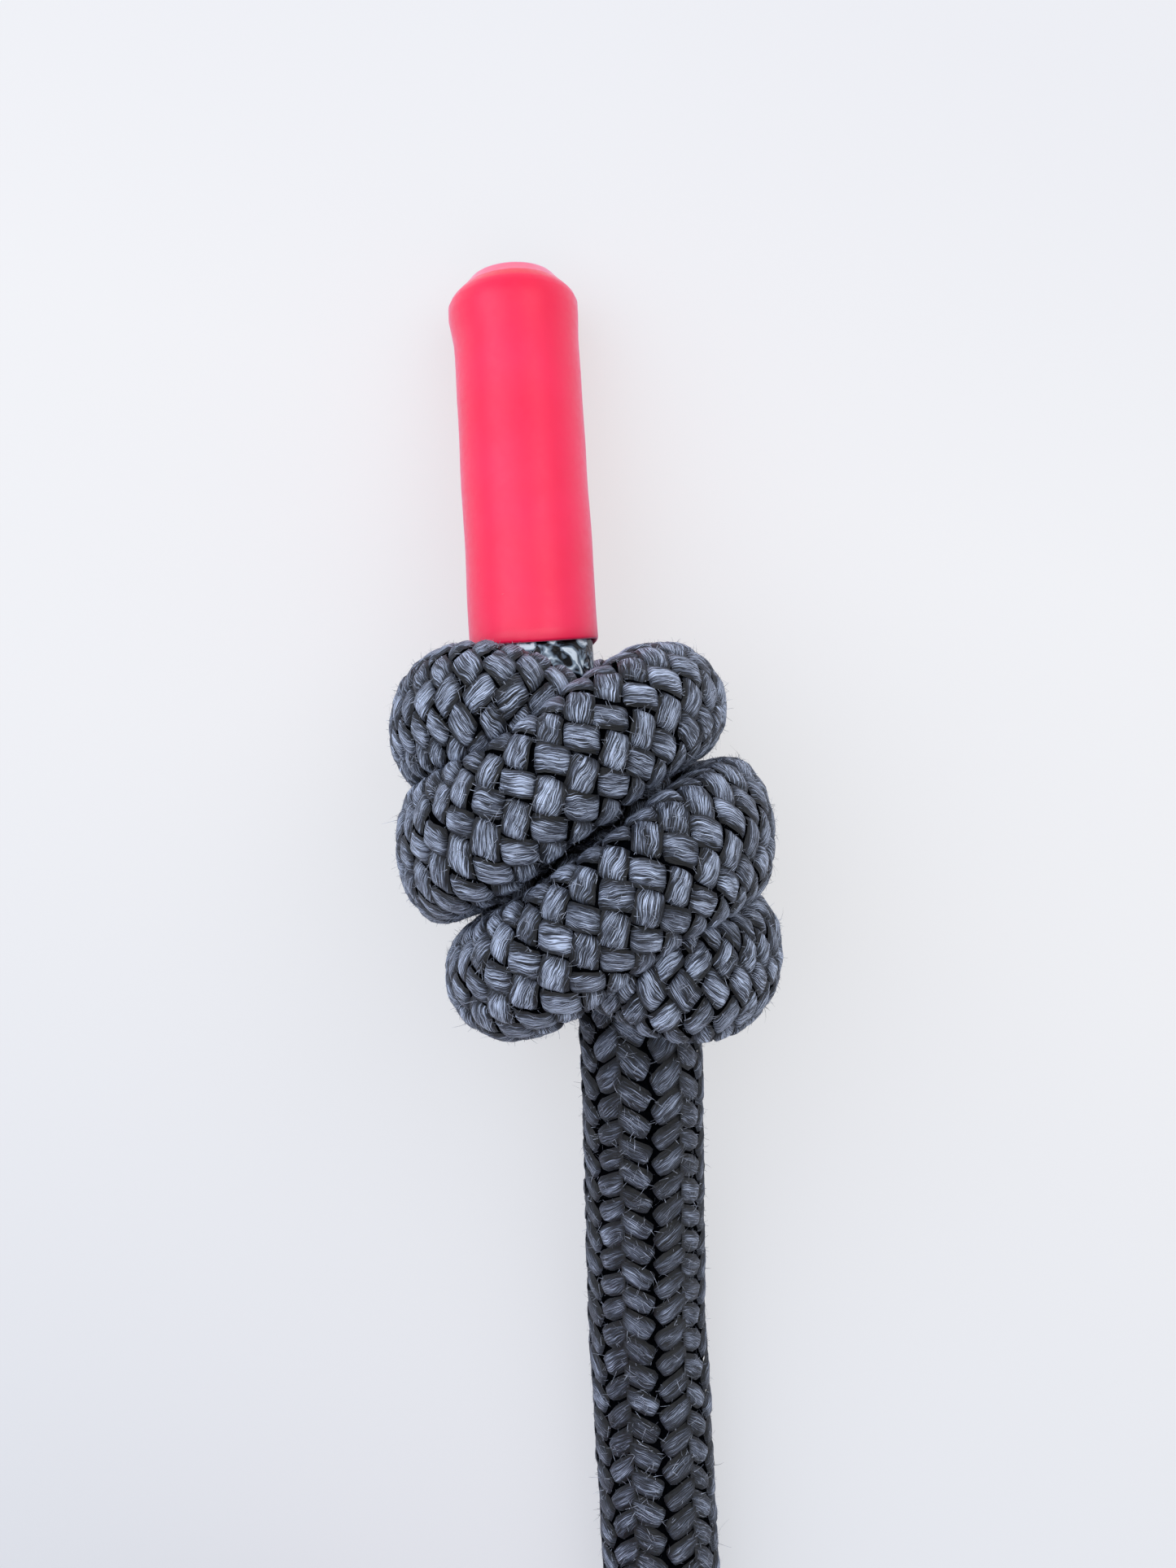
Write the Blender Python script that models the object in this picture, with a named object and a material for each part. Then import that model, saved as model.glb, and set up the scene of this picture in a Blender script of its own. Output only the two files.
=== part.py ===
# A flow rope: one braided rope with a stopper knot, a tape wrap and a shrunk-on cap at each end.
# End A lies as it is used, knot and cap on the floor. The rest of the rope is wound into a
# two-layer coil beside it, and end B lies on top of the coil.
# X runs across the rope, Y along it towards the cap of end A, and Z up from the floor.

import math

import bmesh
import bpy
import numpy as np
from mathutils import Matrix, Vector

# Driving sizes, in metres
ROPE_DIAMETER = 0.020
SHEATH_WALL = 0.0038
PIECE_GAP = 0.0003
PASS_GAP = 0.0009
COIL_MIDDLE_DIAMETER = 0.194
COIL_TURN_GAP = 0.0010
CAP_LENGTH = 0.0642
CAP_WALL = 0.0009
CAP_STAND = 0.00055
CAP_SHOULDER = 0.0030
CAP_LIP_LENGTH = 0.0022
CAP_EDGE = 0.0003
TAPE_LENGTH = 0.0085
TAPE_WALL = 0.0004
TIP_LENGTH = 0.0030

# Sizes that follow from these
CORE_DIAMETER = ROPE_DIAMETER - 2 * SHEATH_WALL
CAP_DIAMETER = ROPE_DIAMETER + 2 * CAP_STAND

# Counts
COIL_TURNS = 2.45
FREE_SMOOTHING_PASSES = 6
POINTS_PER_TURN = 24
TAPE_RINGS = 4
TAIL_RINGS = 3
KNOT_SIDES = 10
BORE_SIDES = 6
CAP_SIDES = 32

# Shares of the rope's diameter, or of what each name says
REST_CUT_SHARE = 0.1
FINE_STEP_SHARE = 0.05
RING_STEP_SHARE = 0.30
RUN_STEP_SHARE = 2.0
WRAP_WIDTH_SHARES = (1.06, 1.18)
WRAP_TURN_SHARES = (0.35, 0.95)
WRAP_THICKNESS_SHARE = 0.90
WRAP_REACH_SHARES = (0.55, 1.0)
KNOT_SMOOTHING_PASSES = 45
COIL_PLACE_SHARES = (-4.35, -12.40)
COIL_START_DEGREES = 15.0
END_B_PLACE_SHARES = (-0.40, 4.00)
END_B_TURN_DEGREES = -90.0
COIL_TILT_DEGREES = 30.0
STRAIGHT_SHARES = (0.0, 0.6, 1.2)

# The knot's route in rope diameters, from the side where the rope goes in to the middle of its
# back. Its other half is this half turned half a turn about Z and run backwards.
KNOT_HALF_SHARES = (
    (0.455, -1.700, -0.100),
    (0.400, -1.150, -0.130),
    (0.360, -0.600, -0.240),
    (0.330, 0.000, -0.060),
    (0.205, 0.430, 0.150),
    (-0.090, 0.760, 0.370),
    (-0.440, 1.000, 0.640),
    (-0.770, 1.090, 0.770),
    (-1.030, 1.020, 0.540),
    (-1.120, 0.900, 0.020),
    (-0.975, 0.890, -0.590),
    (-0.510, 0.920, -1.010),
    (0.050, 0.955, -1.080),
    (0.505, 0.985, -0.730),
    (0.690, 0.990, -0.125),
    (0.620, 0.990, 0.500),
    (0.320, 0.870, 0.950),
    (-0.130, 0.580, 1.140),
    (-0.560, 0.310, 1.100),
    (-0.940, 0.110, 0.720),
    (-1.105, 0.030, 0.100),
    (-0.955, 0.010, -0.590),
    (-0.510, 0.000, -1.010),
    (0.000, 0.000, -1.110),
)
# Where the rope's straight ends leave the knot and which way they run, in rope diameters
STANDING_END_SHARES = (0.4675, -2.200, -0.260)
TAIL_START_SHARES = (-0.379, 0.890, -0.010)
CAP_START_SHARES = (-0.420, 1.615, -0.200)

# The run from knot A down to the floor, where it goes straight on into the coil's lead, both in
# rope diameters above the floor
RUN_SHARES = (
    (0.517, -4.15, 0.576),
    (0.548, -4.55, 0.500),
    (0.575, -5.05, 0.500),
)
RUN_END_SHARES = (0.630, -6.05, 0.50)
LEAD_IN_SHARES = (
    (0.685, -7.05, 0.50),
    (0.713, -7.55, 0.50),
    (0.755, -8.30, 0.49),
    (0.810, -9.30, 0.46),
    (0.885, -10.10, 0.42),
)
# From the coil's last turn up to end B, in rope diameters from the coil's middle
LEAD_OUT_SHARES = (
    (-5.56, -0.80, 1.54),
    (-5.64, 0.50, 1.76),
    (-5.52, 1.70, 2.00),
    (-5.18, 2.68, 2.26),
    (-4.60, 3.32, 2.53),
)

STUB_POINT_SHARES = (0.0, 0.5)
TAIL_POINT_SHARES = (0.0, 0.1, 0.2, 0.6, 1.0)
KNOT_HEIGHT_SHARE = 1.110 + 0.5 * WRAP_THICKNESS_SHARE - REST_CUT_SHARE


def clear_scene():
    for item in list(bpy.data.objects):
        bpy.data.objects.remove(item, do_unlink=True)


def material(name, colour, roughness, metallic=0.0):
    made = bpy.data.materials.new(name)
    made.use_nodes = True
    shader = made.node_tree.nodes["Principled BSDF"]
    shader.inputs["Base Color"].default_value = (*colour, 1.0)
    shader.inputs["Roughness"].default_value = roughness
    shader.inputs["Metallic"].default_value = metallic
    return made


def smooth_line(route, step, passes):
    """A curve through the route's points, sampled about every step and eased until it bends evenly."""
    points = np.array(route, float)
    points = np.vstack([2 * points[0] - points[1], points, 2 * points[-1] - points[-2]])
    line = []
    for before, start, end, after in zip(points, points[1:], points[2:], points[3:]):
        count = max(2, round(np.linalg.norm(end - start) / step))
        for share in np.arange(count) / count:
            line.append(
                0.5
                * (
                    2 * start
                    + (end - before) * share
                    + (2 * before - 5 * start + 4 * end - after) * share**2
                    + (3 * start - before - 3 * end + after) * share**3
                )
            )
    line.append(points[-2])
    line = spaced(np.array(line), step)
    for _ in range(passes):
        line[1:-1] = 0.5 * line[1:-1] + 0.25 * (line[:-2] + line[2:])
    return spaced(line, step)


def spaced(line, step):
    """The same line with its points a step apart."""
    along = lengths_along(line)
    places = np.linspace(0, along[-1], max(2, round(along[-1] / step)) + 1)
    return np.stack([np.interp(places, along, line[:, axis]) for axis in range(3)], axis=1)


def lengths_along(line):
    return np.concatenate([[0], np.cumsum(np.linalg.norm(np.diff(line, axis=0), axis=1))])


def frames(line):
    """Two directions square to the line at each of its points, turning as little as they can."""
    ways = np.gradient(line, axis=0)
    ways /= np.linalg.norm(ways, axis=1)[:, None]
    side = Vector((0, 0, 1)).cross(Vector(ways[0])).normalized()
    sides = []
    for earlier, way in zip(np.vstack([ways[:1], ways[:-1]]), ways):
        side = Vector(earlier).rotation_difference(Vector(way)) @ side
        side = (side - side.dot(Vector(way)) * Vector(way)).normalized()
        sides.append(side)
    sides = np.array(sides)
    return sides, np.cross(ways, sides)


def knot_line():
    """The rope's middle from its straight start, through the knot, to its tip inside the cap."""
    half = np.array(KNOT_HALF_SHARES)
    knot = np.vstack([half, (half[:-1] * (-1, -1, 1))[::-1]])[:-2]
    start, tail = np.array(STANDING_END_SHARES), np.array(TAIL_START_SHARES)
    stub = start + (knot[0] - start) * np.array(STUB_POINT_SHARES)[:, None]
    to_cap = np.array(CAP_START_SHARES) - tail
    to_tip = (CAP_LENGTH - CAP_LIP_LENGTH - CAP_SHOULDER - TIP_LENGTH) / ROPE_DIAMETER
    tip = tail + to_cap * (1 + to_tip / np.linalg.norm(to_cap))
    tail_points = tail + (tip - tail) * np.array(TAIL_POINT_SHARES)[:, None]
    route = np.vstack([stub, knot, tail_points]) + (0, 0, KNOT_HEIGHT_SHARE)
    step = FINE_STEP_SHARE * ROPE_DIAMETER
    return smooth_line(route * ROPE_DIAMETER, step, KNOT_SMOOTHING_PASSES)


def cap_start(line):
    """How far along the line the cap begins."""
    start = (np.array(CAP_START_SHARES) + (0, 0, KNOT_HEIGHT_SHARE)) * ROPE_DIAMETER
    return lengths_along(line)[np.linalg.norm(line - start, axis=1).argmin()]


def eased(low, high, value):
    share = np.clip((value - low) / (high - low), 0, 1)
    return share * share * (3 - 2 * share)


def section_reach(line, centre, directions, radius, clearance):
    """How far the rope reaches from its middle in each direction: pressed flat against the knot's
    core where it wraps it, most of all where it turns down the knot's sides, and never past
    halfway to the passes beside it."""
    inward = np.array([-centre[0], 0, KNOT_HEIGHT_SHARE * ROPE_DIAMETER - centre[2]])
    distance = np.linalg.norm(inward)
    low, high = (share * ROPE_DIAMETER for share in WRAP_REACH_SHARES)
    wrapped = eased(low, high, distance) * eased(2 * ROPE_DIAMETER, high, abs(centre[1]))
    pressed = (directions @ inward / max(distance, FINE_STEP_SHARE * ROPE_DIAMETER)) ** 2
    thick = 1 + wrapped * (WRAP_THICKNESS_SHARE - 1)
    turned_down = eased(*(share * ROPE_DIAMETER for share in WRAP_TURN_SHARES), abs(centre[0]))
    widest = np.interp(turned_down, (0, 1), WRAP_WIDTH_SHARES)
    wide = 1 + wrapped * (widest - 1)
    reach = radius / np.sqrt(pressed / thick**2 + (1 - pressed) / wide**2)
    towards = line - centre
    squares = (towards**2).sum(axis=1)
    apart = squares > (FINE_STEP_SHARE * ROPE_DIAMETER) ** 2 / 2
    facing = directions @ towards[apart].T
    halfway = squares[apart] / (2 * np.maximum(facing, FINE_STEP_SHARE * PIECE_GAP))
    return np.minimum(reach, halfway.min(axis=1) - clearance)


def closed_mesh(name, rings, capped=True):
    """A mesh of rings of points, joined side by side and closed at both ends."""
    sides = len(rings[0])
    shape = bmesh.new()
    points = [[shape.verts.new(point) for point in ring] for ring in rings]
    pairs = list(zip(points, points[1:]))
    if capped:
        shape.faces.new(points[0][::-1])
        shape.faces.new(points[-1])
    else:
        pairs.append((points[-1], points[0]))
    for first, second in pairs:
        for k in range(sides):
            near, far, back, on = first[k], first[(k + 1) % sides], second[k], second[(k + 1) % sides]
            if (near.co - on.co).length < (far.co - back.co).length:
                shape.faces.new((near, far, on))
                shape.faces.new((near, on, back))
            else:
                shape.faces.new((near, far, back))
                shape.faces.new((far, on, back))
    bmesh.ops.recalc_face_normals(shape, faces=shape.faces)
    mesh = bpy.data.meshes.new(name)
    shape.to_mesh(mesh)
    shape.free()
    mesh.shade_smooth()
    return mesh


def add_object(name, data, colour, parent=None):
    made = bpy.data.objects.new(name, data)
    if colour is not None:
        data.materials.append(colour)
    bpy.context.scene.collection.objects.link(made)
    made.parent = parent
    return made


def bore_out(body, cutter, parent=None):
    """Cuts a plainer tube out of a rope body, which leaves its sheath."""
    cutter.hide_render = True
    cutter.display_type = "WIRE"
    cutter.parent = parent
    cut = body.modifiers.new("bore", "BOOLEAN")
    cut.operation = "DIFFERENCE"
    cut.solver = "EXACT"
    cut.object = cutter


def rope_rings(line, places, sides, radius, clearance, floor=None):
    """Rings of points round the rope at these places along its line."""
    sideways, upwards = frames(line)
    along = lengths_along(line)
    turns = 2 * math.pi * (np.arange(sides) + 0.5) / sides
    rings = []
    for place in places:
        centre, side, up = (at_place(along, values, place) for values in (line, sideways, upwards))
        directions = np.outer(np.cos(turns), side) + np.outer(np.sin(turns), up)
        reach = section_reach(line, centre, directions, radius(place), clearance(place))
        ring = centre + directions * reach[:, None]
        if floor is not None:
            ring[:, 2] = np.maximum(ring[:, 2], floor)
        rings.append(ring)
    return rings


def at_place(along, values, place):
    """The values kept for each point of a line, read at a length along it."""
    return np.array([np.interp(place, along, values[:, axis]) for axis in range(3)])


def line_at(line, place):
    return at_place(lengths_along(line), line, place)


def drawn_in(line, places, rings, share, less):
    """Rings with their reach from the line cut to a share of itself, and then by a length."""
    made = []
    for place, ring in zip(places, rings):
        out = ring - line_at(line, place)
        reach = np.linalg.norm(out, axis=1)[:, None]
        made.append(line_at(line, place) + out * (share - less / reach))
    return made


def least_gap(line, places, rings):
    """The least distance between points of the rope's surface that are two diameters or more apart
    along it."""
    least = math.inf
    for k, ring in enumerate(rings):
        others = [r for r, p in zip(rings[k:], places[k:]) if p - places[k] > 2 * ROPE_DIAMETER]
        if others:
            between = ring[:, None] - np.vstack(others)[None]
            least = min(least, float(np.linalg.norm(between, axis=2).min()))
    return least


def make_end(letter, place, colours):
    """One end of the rope: its knot, tape wrap, fused tip and cap, all carried by an empty."""
    line = knot_line()
    total = lengths_along(line)[-1]
    cap_at = cap_start(line)
    tape_from, tape_to = cap_at - TAPE_LENGTH, cap_at - PIECE_GAP
    inside_cap = CAP_DIAMETER / 2 - CAP_WALL - PIECE_GAP
    easing = tape_from - ROPE_DIAMETER

    def rope_radius(along):
        return ROPE_DIAMETER / 2 + eased(easing, tape_from, along) * (
            inside_cap - ROPE_DIAMETER / 2
        )

    def tape_radius(along):
        return inside_cap + PIECE_GAP + TAPE_WALL

    def rope_clearance(along):
        return PASS_GAP / 2 + eased(easing, tape_from, along) * (PIECE_GAP + TAPE_WALL)

    def tape_clearance(along):
        return PASS_GAP

    end = bpy.data.objects.new("end_" + letter, None)
    bpy.context.scene.collection.objects.link(end)
    end.matrix_world = place

    step = RING_STEP_SHARE * ROPE_DIAMETER
    winding = np.linspace(0, tape_from, round(tape_from / step) + 1)[:-1]
    taped = np.insert(np.linspace(tape_from, tape_to, TAPE_RINGS), 0, tape_from - PIECE_GAP)
    tail = np.linspace(cap_at, total, TAIL_RINGS)
    wrap = rope_rings(line, taped, KNOT_SIDES, tape_radius, tape_clearance, floor=0.0)
    lining = drawn_in(line, taped, wrap, 1.0, TAPE_WALL)[1:]
    rings = rope_rings(line, winding, KNOT_SIDES, rope_radius, rope_clearance, floor=0.0)
    rings += drawn_in(line, taped, wrap, 1.0, TAPE_WALL + PIECE_GAP)
    rings += rope_rings(line, tail, KNOT_SIDES, rope_radius, rope_clearance, floor=0.0)
    sheath = add_object(
        "knot_sheath_" + letter, closed_mesh("knot_sheath", rings), colours["sheath"], end
    )
    add_object(
        "tape_wrap_" + letter,
        closed_mesh("tape_wrap", wrap[1:] + lining[::-1], capped=False),
        colours["tape"],
        end,
    )

    fine = np.arange(0, tape_from, step / 2)
    surface = rope_rings(line, fine, 2 * KNOT_SIDES, rope_radius, rope_clearance)
    print("knot", letter, "least gap to itself", round(1000 * least_gap(line, fine, surface), 2), "mm")

    inner = np.concatenate([winding[::2], tail])
    outline = rope_rings(line, inner, BORE_SIDES, rope_radius, rope_clearance)
    core_share = CORE_DIAMETER / ROPE_DIAMETER
    core = drawn_in(line, inner, outline, core_share, 0.0)
    bore = drawn_in(line, inner, outline, core_share, -PIECE_GAP)
    overrun = CORE_DIAMETER / 2
    bore.insert(0, bore[0] + unit(line[0] - line[1]) * overrun)
    bore.append(bore[-1] + unit(line[-1] - line[-2]) * overrun)
    cutter = add_object("knot_bore_" + letter, closed_mesh("knot_bore", bore), None)
    bore_out(sheath, cutter, end)
    add_object("knot_core_" + letter, closed_mesh("knot_core", core), colours["core"], end)
    make_cap(letter, line, cap_at, end, colours)
    return line


def unit(vector):
    return vector / np.linalg.norm(vector)


def turned(profile, sides):
    """Rings of points from a profile of (radius, height) points turned about Z."""
    angles = 2 * math.pi * np.arange(sides) / sides
    return [
        [(r * math.cos(angle), r * math.sin(angle), z) for angle in angles] for r, z in profile
    ]


def make_cap(letter, line, cap_at, end, colours):
    """The shrunk-on cap and the fused end of the rope inside it."""
    start, finish = line_at(line, cap_at), line[-1]
    way = Vector(finish - start).normalized()
    turn = Vector((0, 0, 1)).rotation_difference(way).to_matrix().to_4x4()
    place = Matrix.Translation(start) @ turn
    outside, inside = CAP_DIAMETER / 2, CAP_DIAMETER / 2 - CAP_WALL
    barrel = CAP_LENGTH - CAP_SHOULDER - CAP_LIP_LENGTH
    drawn_in = outside - CAP_SHOULDER
    bend = CAP_SHOULDER * math.cos(math.pi / 4)
    profile = (
        (inside, 0.0),
        (outside - CAP_EDGE, 0.0),
        (outside, CAP_EDGE),
        (outside, barrel),
        (drawn_in + bend, barrel + bend),
        (drawn_in, barrel + CAP_SHOULDER),
        (drawn_in, CAP_LENGTH - CAP_WALL / 2),
        (drawn_in - CAP_WALL / 2, CAP_LENGTH),
        (drawn_in - CAP_WALL, CAP_LENGTH - CAP_WALL / 2),
        (drawn_in - CAP_WALL, barrel + CAP_SHOULDER - CAP_WALL / 2),
        (drawn_in + bend - CAP_WALL, barrel + bend - CAP_WALL / 2),
        (inside, barrel - CAP_WALL / 2),
    )
    cap = add_object(
        "heat_shrink_cap_" + letter,
        closed_mesh("heat_shrink_cap", turned(profile, CAP_SIDES), capped=False),
        colours["cap"],
        end,
    )
    cap.matrix_local = place
    tip_from = (Vector(finish) - Vector(start)).length + PIECE_GAP
    radius = inside - PIECE_GAP
    top = CAP_LENGTH - CAP_LIP_LENGTH - CAP_SHOULDER + PIECE_GAP
    rounding = TIP_LENGTH / 3
    profile = (
        (radius, tip_from),
        (radius, top - rounding),
        (radius - rounding, top),
        (radius / 2, top + rounding / 3),
    )
    tip = add_object(
        "fused_tip_" + letter,
        closed_mesh("fused_tip", turned(profile, CAP_SIDES)),
        colours["tip"],
        end,
    )
    tip.matrix_local = place


def rope_curve(name, points, diameter, resolution, tilt=0.0):
    """A round tube of the given diameter along these points."""
    curve = bpy.data.curves.new(name, "CURVE")
    curve.dimensions = "3D"
    curve.twist_mode = "Z_UP"
    curve.bevel_depth = diameter / 2
    curve.bevel_resolution = resolution
    curve.use_fill_caps = True
    spline = curve.splines.new("POLY")
    spline.points.add(len(points) - 1)
    for spot, point in zip(spline.points, points):
        spot.co = (*point, 1.0)
        spot.tilt = tilt
    spline.use_smooth = True
    return curve


def meshed(curve):
    """The curve's tube as one closed mesh with its caps joined on, and no lower than the floor."""
    holder = bpy.data.objects.new(curve.name, curve)
    bpy.context.scene.collection.objects.link(holder)
    graph = bpy.context.evaluated_depsgraph_get()
    mesh = bpy.data.meshes.new_from_object(holder.evaluated_get(graph))
    bpy.data.objects.remove(holder, do_unlink=True)
    shape = bmesh.new()
    shape.from_mesh(mesh)
    bmesh.ops.remove_doubles(shape, verts=shape.verts, dist=PIECE_GAP / 10)
    for point in shape.verts:
        point.co.z = max(point.co.z, 0.0)
    bmesh.ops.recalc_face_normals(shape, faces=shape.faces)
    shape.to_mesh(mesh)
    shape.free()
    mesh.shade_smooth()
    return mesh


def rope_length_between(name, points, resolution, colours, tilt=0.0):
    """A stretch of rope along these points: a sheath with a bore and the core inside it."""
    points = np.array(points)
    sheath = add_object(
        name + "_sheath",
        meshed(rope_curve(name + "_sheath", points, ROPE_DIAMETER, resolution, tilt)),
        colours["sheath"],
    )
    longer = points.copy()
    first, last = points[0] - points[1], points[-1] - points[-2]
    longer[0] = longer[0] + first / np.linalg.norm(first) * CORE_DIAMETER / 2
    longer[-1] = longer[-1] + last / np.linalg.norm(last) * CORE_DIAMETER / 2
    bore_width = CORE_DIAMETER + 2 * PIECE_GAP / math.cos(math.pi / BORE_SIDES)
    cutter = add_object(
        name + "_bore", meshed(rope_curve(name + "_bore", longer, bore_width, 1, tilt)), None
    )
    bore_out(sheath, cutter)
    add_object(
        name + "_core", rope_curve(name + "_core", points, CORE_DIAMETER, 1, tilt), colours["core"]
    )


def coil_point(turn):
    """A point of the coil's middle line: in on the floor, up a layer, and out again."""
    middle = COIL_TURNS / 2
    pitch = ROPE_DIAMETER + COIL_TURN_GAP
    inner = COIL_MIDDLE_DIAMETER / 2 - pitch * middle / 2
    radius = inner + pitch * abs(turn - middle)
    angle = math.radians(COIL_START_DEGREES) - 2 * math.pi * turn
    low = (0.5 - REST_CUT_SHARE) * ROPE_DIAMETER
    climb = pitch * float(eased(middle - 0.25, middle + 0.25, turn))
    centre = np.array(COIL_PLACE_SHARES) * ROPE_DIAMETER
    return (
        centre[0] + radius * math.cos(angle),
        centre[1] + radius * math.sin(angle),
        low + climb,
    )


def coil_height():
    """How high the coil's two layers stand."""
    return 2 * ROPE_DIAMETER + COIL_TURN_GAP - REST_CUT_SHARE * ROPE_DIAMETER


def end_b_place():
    """Where end B lies: on top of the coil, turned to follow its turns."""
    x, y = (np.array(COIL_PLACE_SHARES) + END_B_PLACE_SHARES) * ROPE_DIAMETER
    turn = Matrix.Rotation(math.radians(END_B_TURN_DEGREES), 4, "Z")
    return Matrix.Translation((x, y, coil_height() + PIECE_GAP)) @ turn


def free_rope(line):
    """The rope's middle from knot A to knot B: down to the floor, round the coil and up to end B."""
    start, start_way = line[0], unit(line[0] - line[1])
    place = end_b_place()
    finish = np.array(place @ Vector(start))
    finish_way = np.array(place.to_3x3() @ Vector(-start_way))
    centre = np.array((*COIL_PLACE_SHARES, 0.0)) * ROPE_DIAMETER
    turns = np.arange(COIL_TURNS * POINTS_PER_TURN + 1) / POINTS_PER_TURN
    straight = [share * ROPE_DIAMETER for share in STRAIGHT_SHARES]
    run = RUN_SHARES + (RUN_END_SHARES,) + LEAD_IN_SHARES
    route = [start + start_way * share for share in straight]
    route += [np.array(point) * ROPE_DIAMETER for point in run]
    route += [coil_point(turn) for turn in turns]
    route += [np.array(point) * ROPE_DIAMETER + centre for point in LEAD_OUT_SHARES]
    route += [finish - finish_way * share for share in reversed(straight)]
    return smooth_line(route, FINE_STEP_SHARE * ROPE_DIAMETER, FREE_SMOOTHING_PASSES)


def straight_ended(line, start, finish, step):
    """The stretch of a line between two lengths along it, with points about a step apart and one
    a rope's diameter from each end."""
    along = lengths_along(line)
    first, last = start + ROPE_DIAMETER, finish - ROPE_DIAMETER
    places = np.linspace(first, last, max(1, round((last - first) / step)) + 1)
    places = np.concatenate([[start], places, [finish]])
    return np.stack([np.interp(places, along, line[:, axis]) for axis in range(3)], axis=1)


def make_free_rope(line, colours):
    """The run, which is a free stretch, and the coil, each a gap from what it meets."""
    middle = free_rope(line)
    along = lengths_along(middle)
    run_end = along[np.linalg.norm(middle - np.array(RUN_END_SHARES) * ROPE_DIAMETER, axis=1).argmin()]
    run = straight_ended(middle, PIECE_GAP, run_end, RUN_STEP_SHARE * ROPE_DIAMETER)
    rope_length_between("run", run, 3, colours)
    step = math.pi * COIL_MIDDLE_DIAMETER / POINTS_PER_TURN
    coil = straight_ended(middle, run_end + PIECE_GAP, along[-1] - PIECE_GAP, step)
    rope_length_between("coil", coil, 1, colours, math.radians(COIL_TILT_DEGREES))
    print("free rope", round(along[-1], 3), "m, run", round(run_end, 3), "m")
    nearest = [
        np.linalg.norm(middle[i] - middle[np.abs(along - at) > 5 * ROPE_DIAMETER], axis=1).min()
        for i, at in list(enumerate(along))[::5]
    ]
    print("coil least gap to itself", round(1000 * (min(nearest) - ROPE_DIAMETER), 2), "mm")
    print("free rope reaches", np.round(middle.min(axis=0), 3), np.round(middle.max(axis=0), 3))


def main():
    clear_scene()
    colours = {
        "sheath": material("braided_polyester", (0.035, 0.037, 0.045), 0.55),
        "core": material("core_fibre", (0.55, 0.53, 0.48), 0.8),
        "tape": material("clear_tape", (0.05, 0.055, 0.065), 0.12),
        "cap": material("heat_shrink", (1.0, 0.035, 0.10), 0.38),
        "tip": material("fused_fibre", (0.015, 0.015, 0.018), 0.3),
    }
    line = make_end("a", Matrix.Identity(4), colours)
    make_end("b", end_b_place(), colours)
    make_free_rope(line, colours)


main()
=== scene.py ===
# Flow rope: a braided rope with a three-wrap stopper knot, a clear tape wrap and a red
# shrunk-on cap at each end. End A lies in front of the camera, the rest is put away in a coil.
import math

import bmesh
import bpy
import numpy as np
from mathutils import Matrix, Vector, noise


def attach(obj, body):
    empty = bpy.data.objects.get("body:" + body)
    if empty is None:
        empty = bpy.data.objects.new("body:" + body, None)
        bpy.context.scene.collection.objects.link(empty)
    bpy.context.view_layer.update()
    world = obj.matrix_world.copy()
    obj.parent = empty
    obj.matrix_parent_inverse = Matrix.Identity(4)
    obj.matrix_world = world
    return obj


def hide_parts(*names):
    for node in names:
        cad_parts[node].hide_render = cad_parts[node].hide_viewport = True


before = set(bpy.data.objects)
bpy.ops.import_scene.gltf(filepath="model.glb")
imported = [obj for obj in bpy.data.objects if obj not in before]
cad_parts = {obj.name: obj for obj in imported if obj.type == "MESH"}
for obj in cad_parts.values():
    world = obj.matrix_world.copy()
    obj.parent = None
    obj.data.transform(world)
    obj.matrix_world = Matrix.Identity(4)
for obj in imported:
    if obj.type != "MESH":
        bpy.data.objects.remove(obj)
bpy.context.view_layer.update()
scene = bpy.context.scene
scene.view_settings.view_transform = "Standard"
print("frame loaded:", len(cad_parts), "nodes")

mm = 0.001

# the rope, in metres where a value isn't called a share
rope = {
    "diameter": 0.020,
    "pieceGap": 0.0003,
    "runLength": 0.140,  # from the first knot to the coil
    "straightEnds": (0.0, 0.012, 0.024),
    "step": 0.001,
    "knotSmoothing": 45,
    "freeSmoothing": 6,
    "restShare": 0.1,  # how far the coil's layers lie into each other and the floor
    "leastHeight": 0.0001,
    "routeEvery": 6,  # steps between the points of a cord's route
}
cap = {
    "length": 0.0642,
    "diameter": 0.0211,
    "wall": 0.0009,
    "shoulder": 0.0030,
    "lip": 0.0022,
}
tape = {
    "length": 0.0085,
    "taperShare": 0.6,  # the rope narrows into the tape over this share of its diameter
    "squeeze": 0.0002,
    "heights": (0.00030, 0.00042),
    "crease": 0.00008,
    "creaseSize": 400.0,
    "rings": 18,
    "edge": 0.0003,
}
tip = {
    "length": 0.0030,
    "gap": 0.0003,
    "round": 0.001,
    "domeShares": (0.75, 0.5, 0.25, 0.02),
    "wobble": 0.0003,
    "sides": 64,
}
coil = {
    "turns": 2.45,
    "middleDiameter": 0.194,
    "turnGap": 0.0010,
    "startDegrees": 15.0,
    "climbTurns": 0.25,
    "pointsPerTurn": 24,
    "place": (-0.087, -0.248),
    "endPlace": (-0.008, 0.080),
    "endTurn": -90.0,
}

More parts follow.
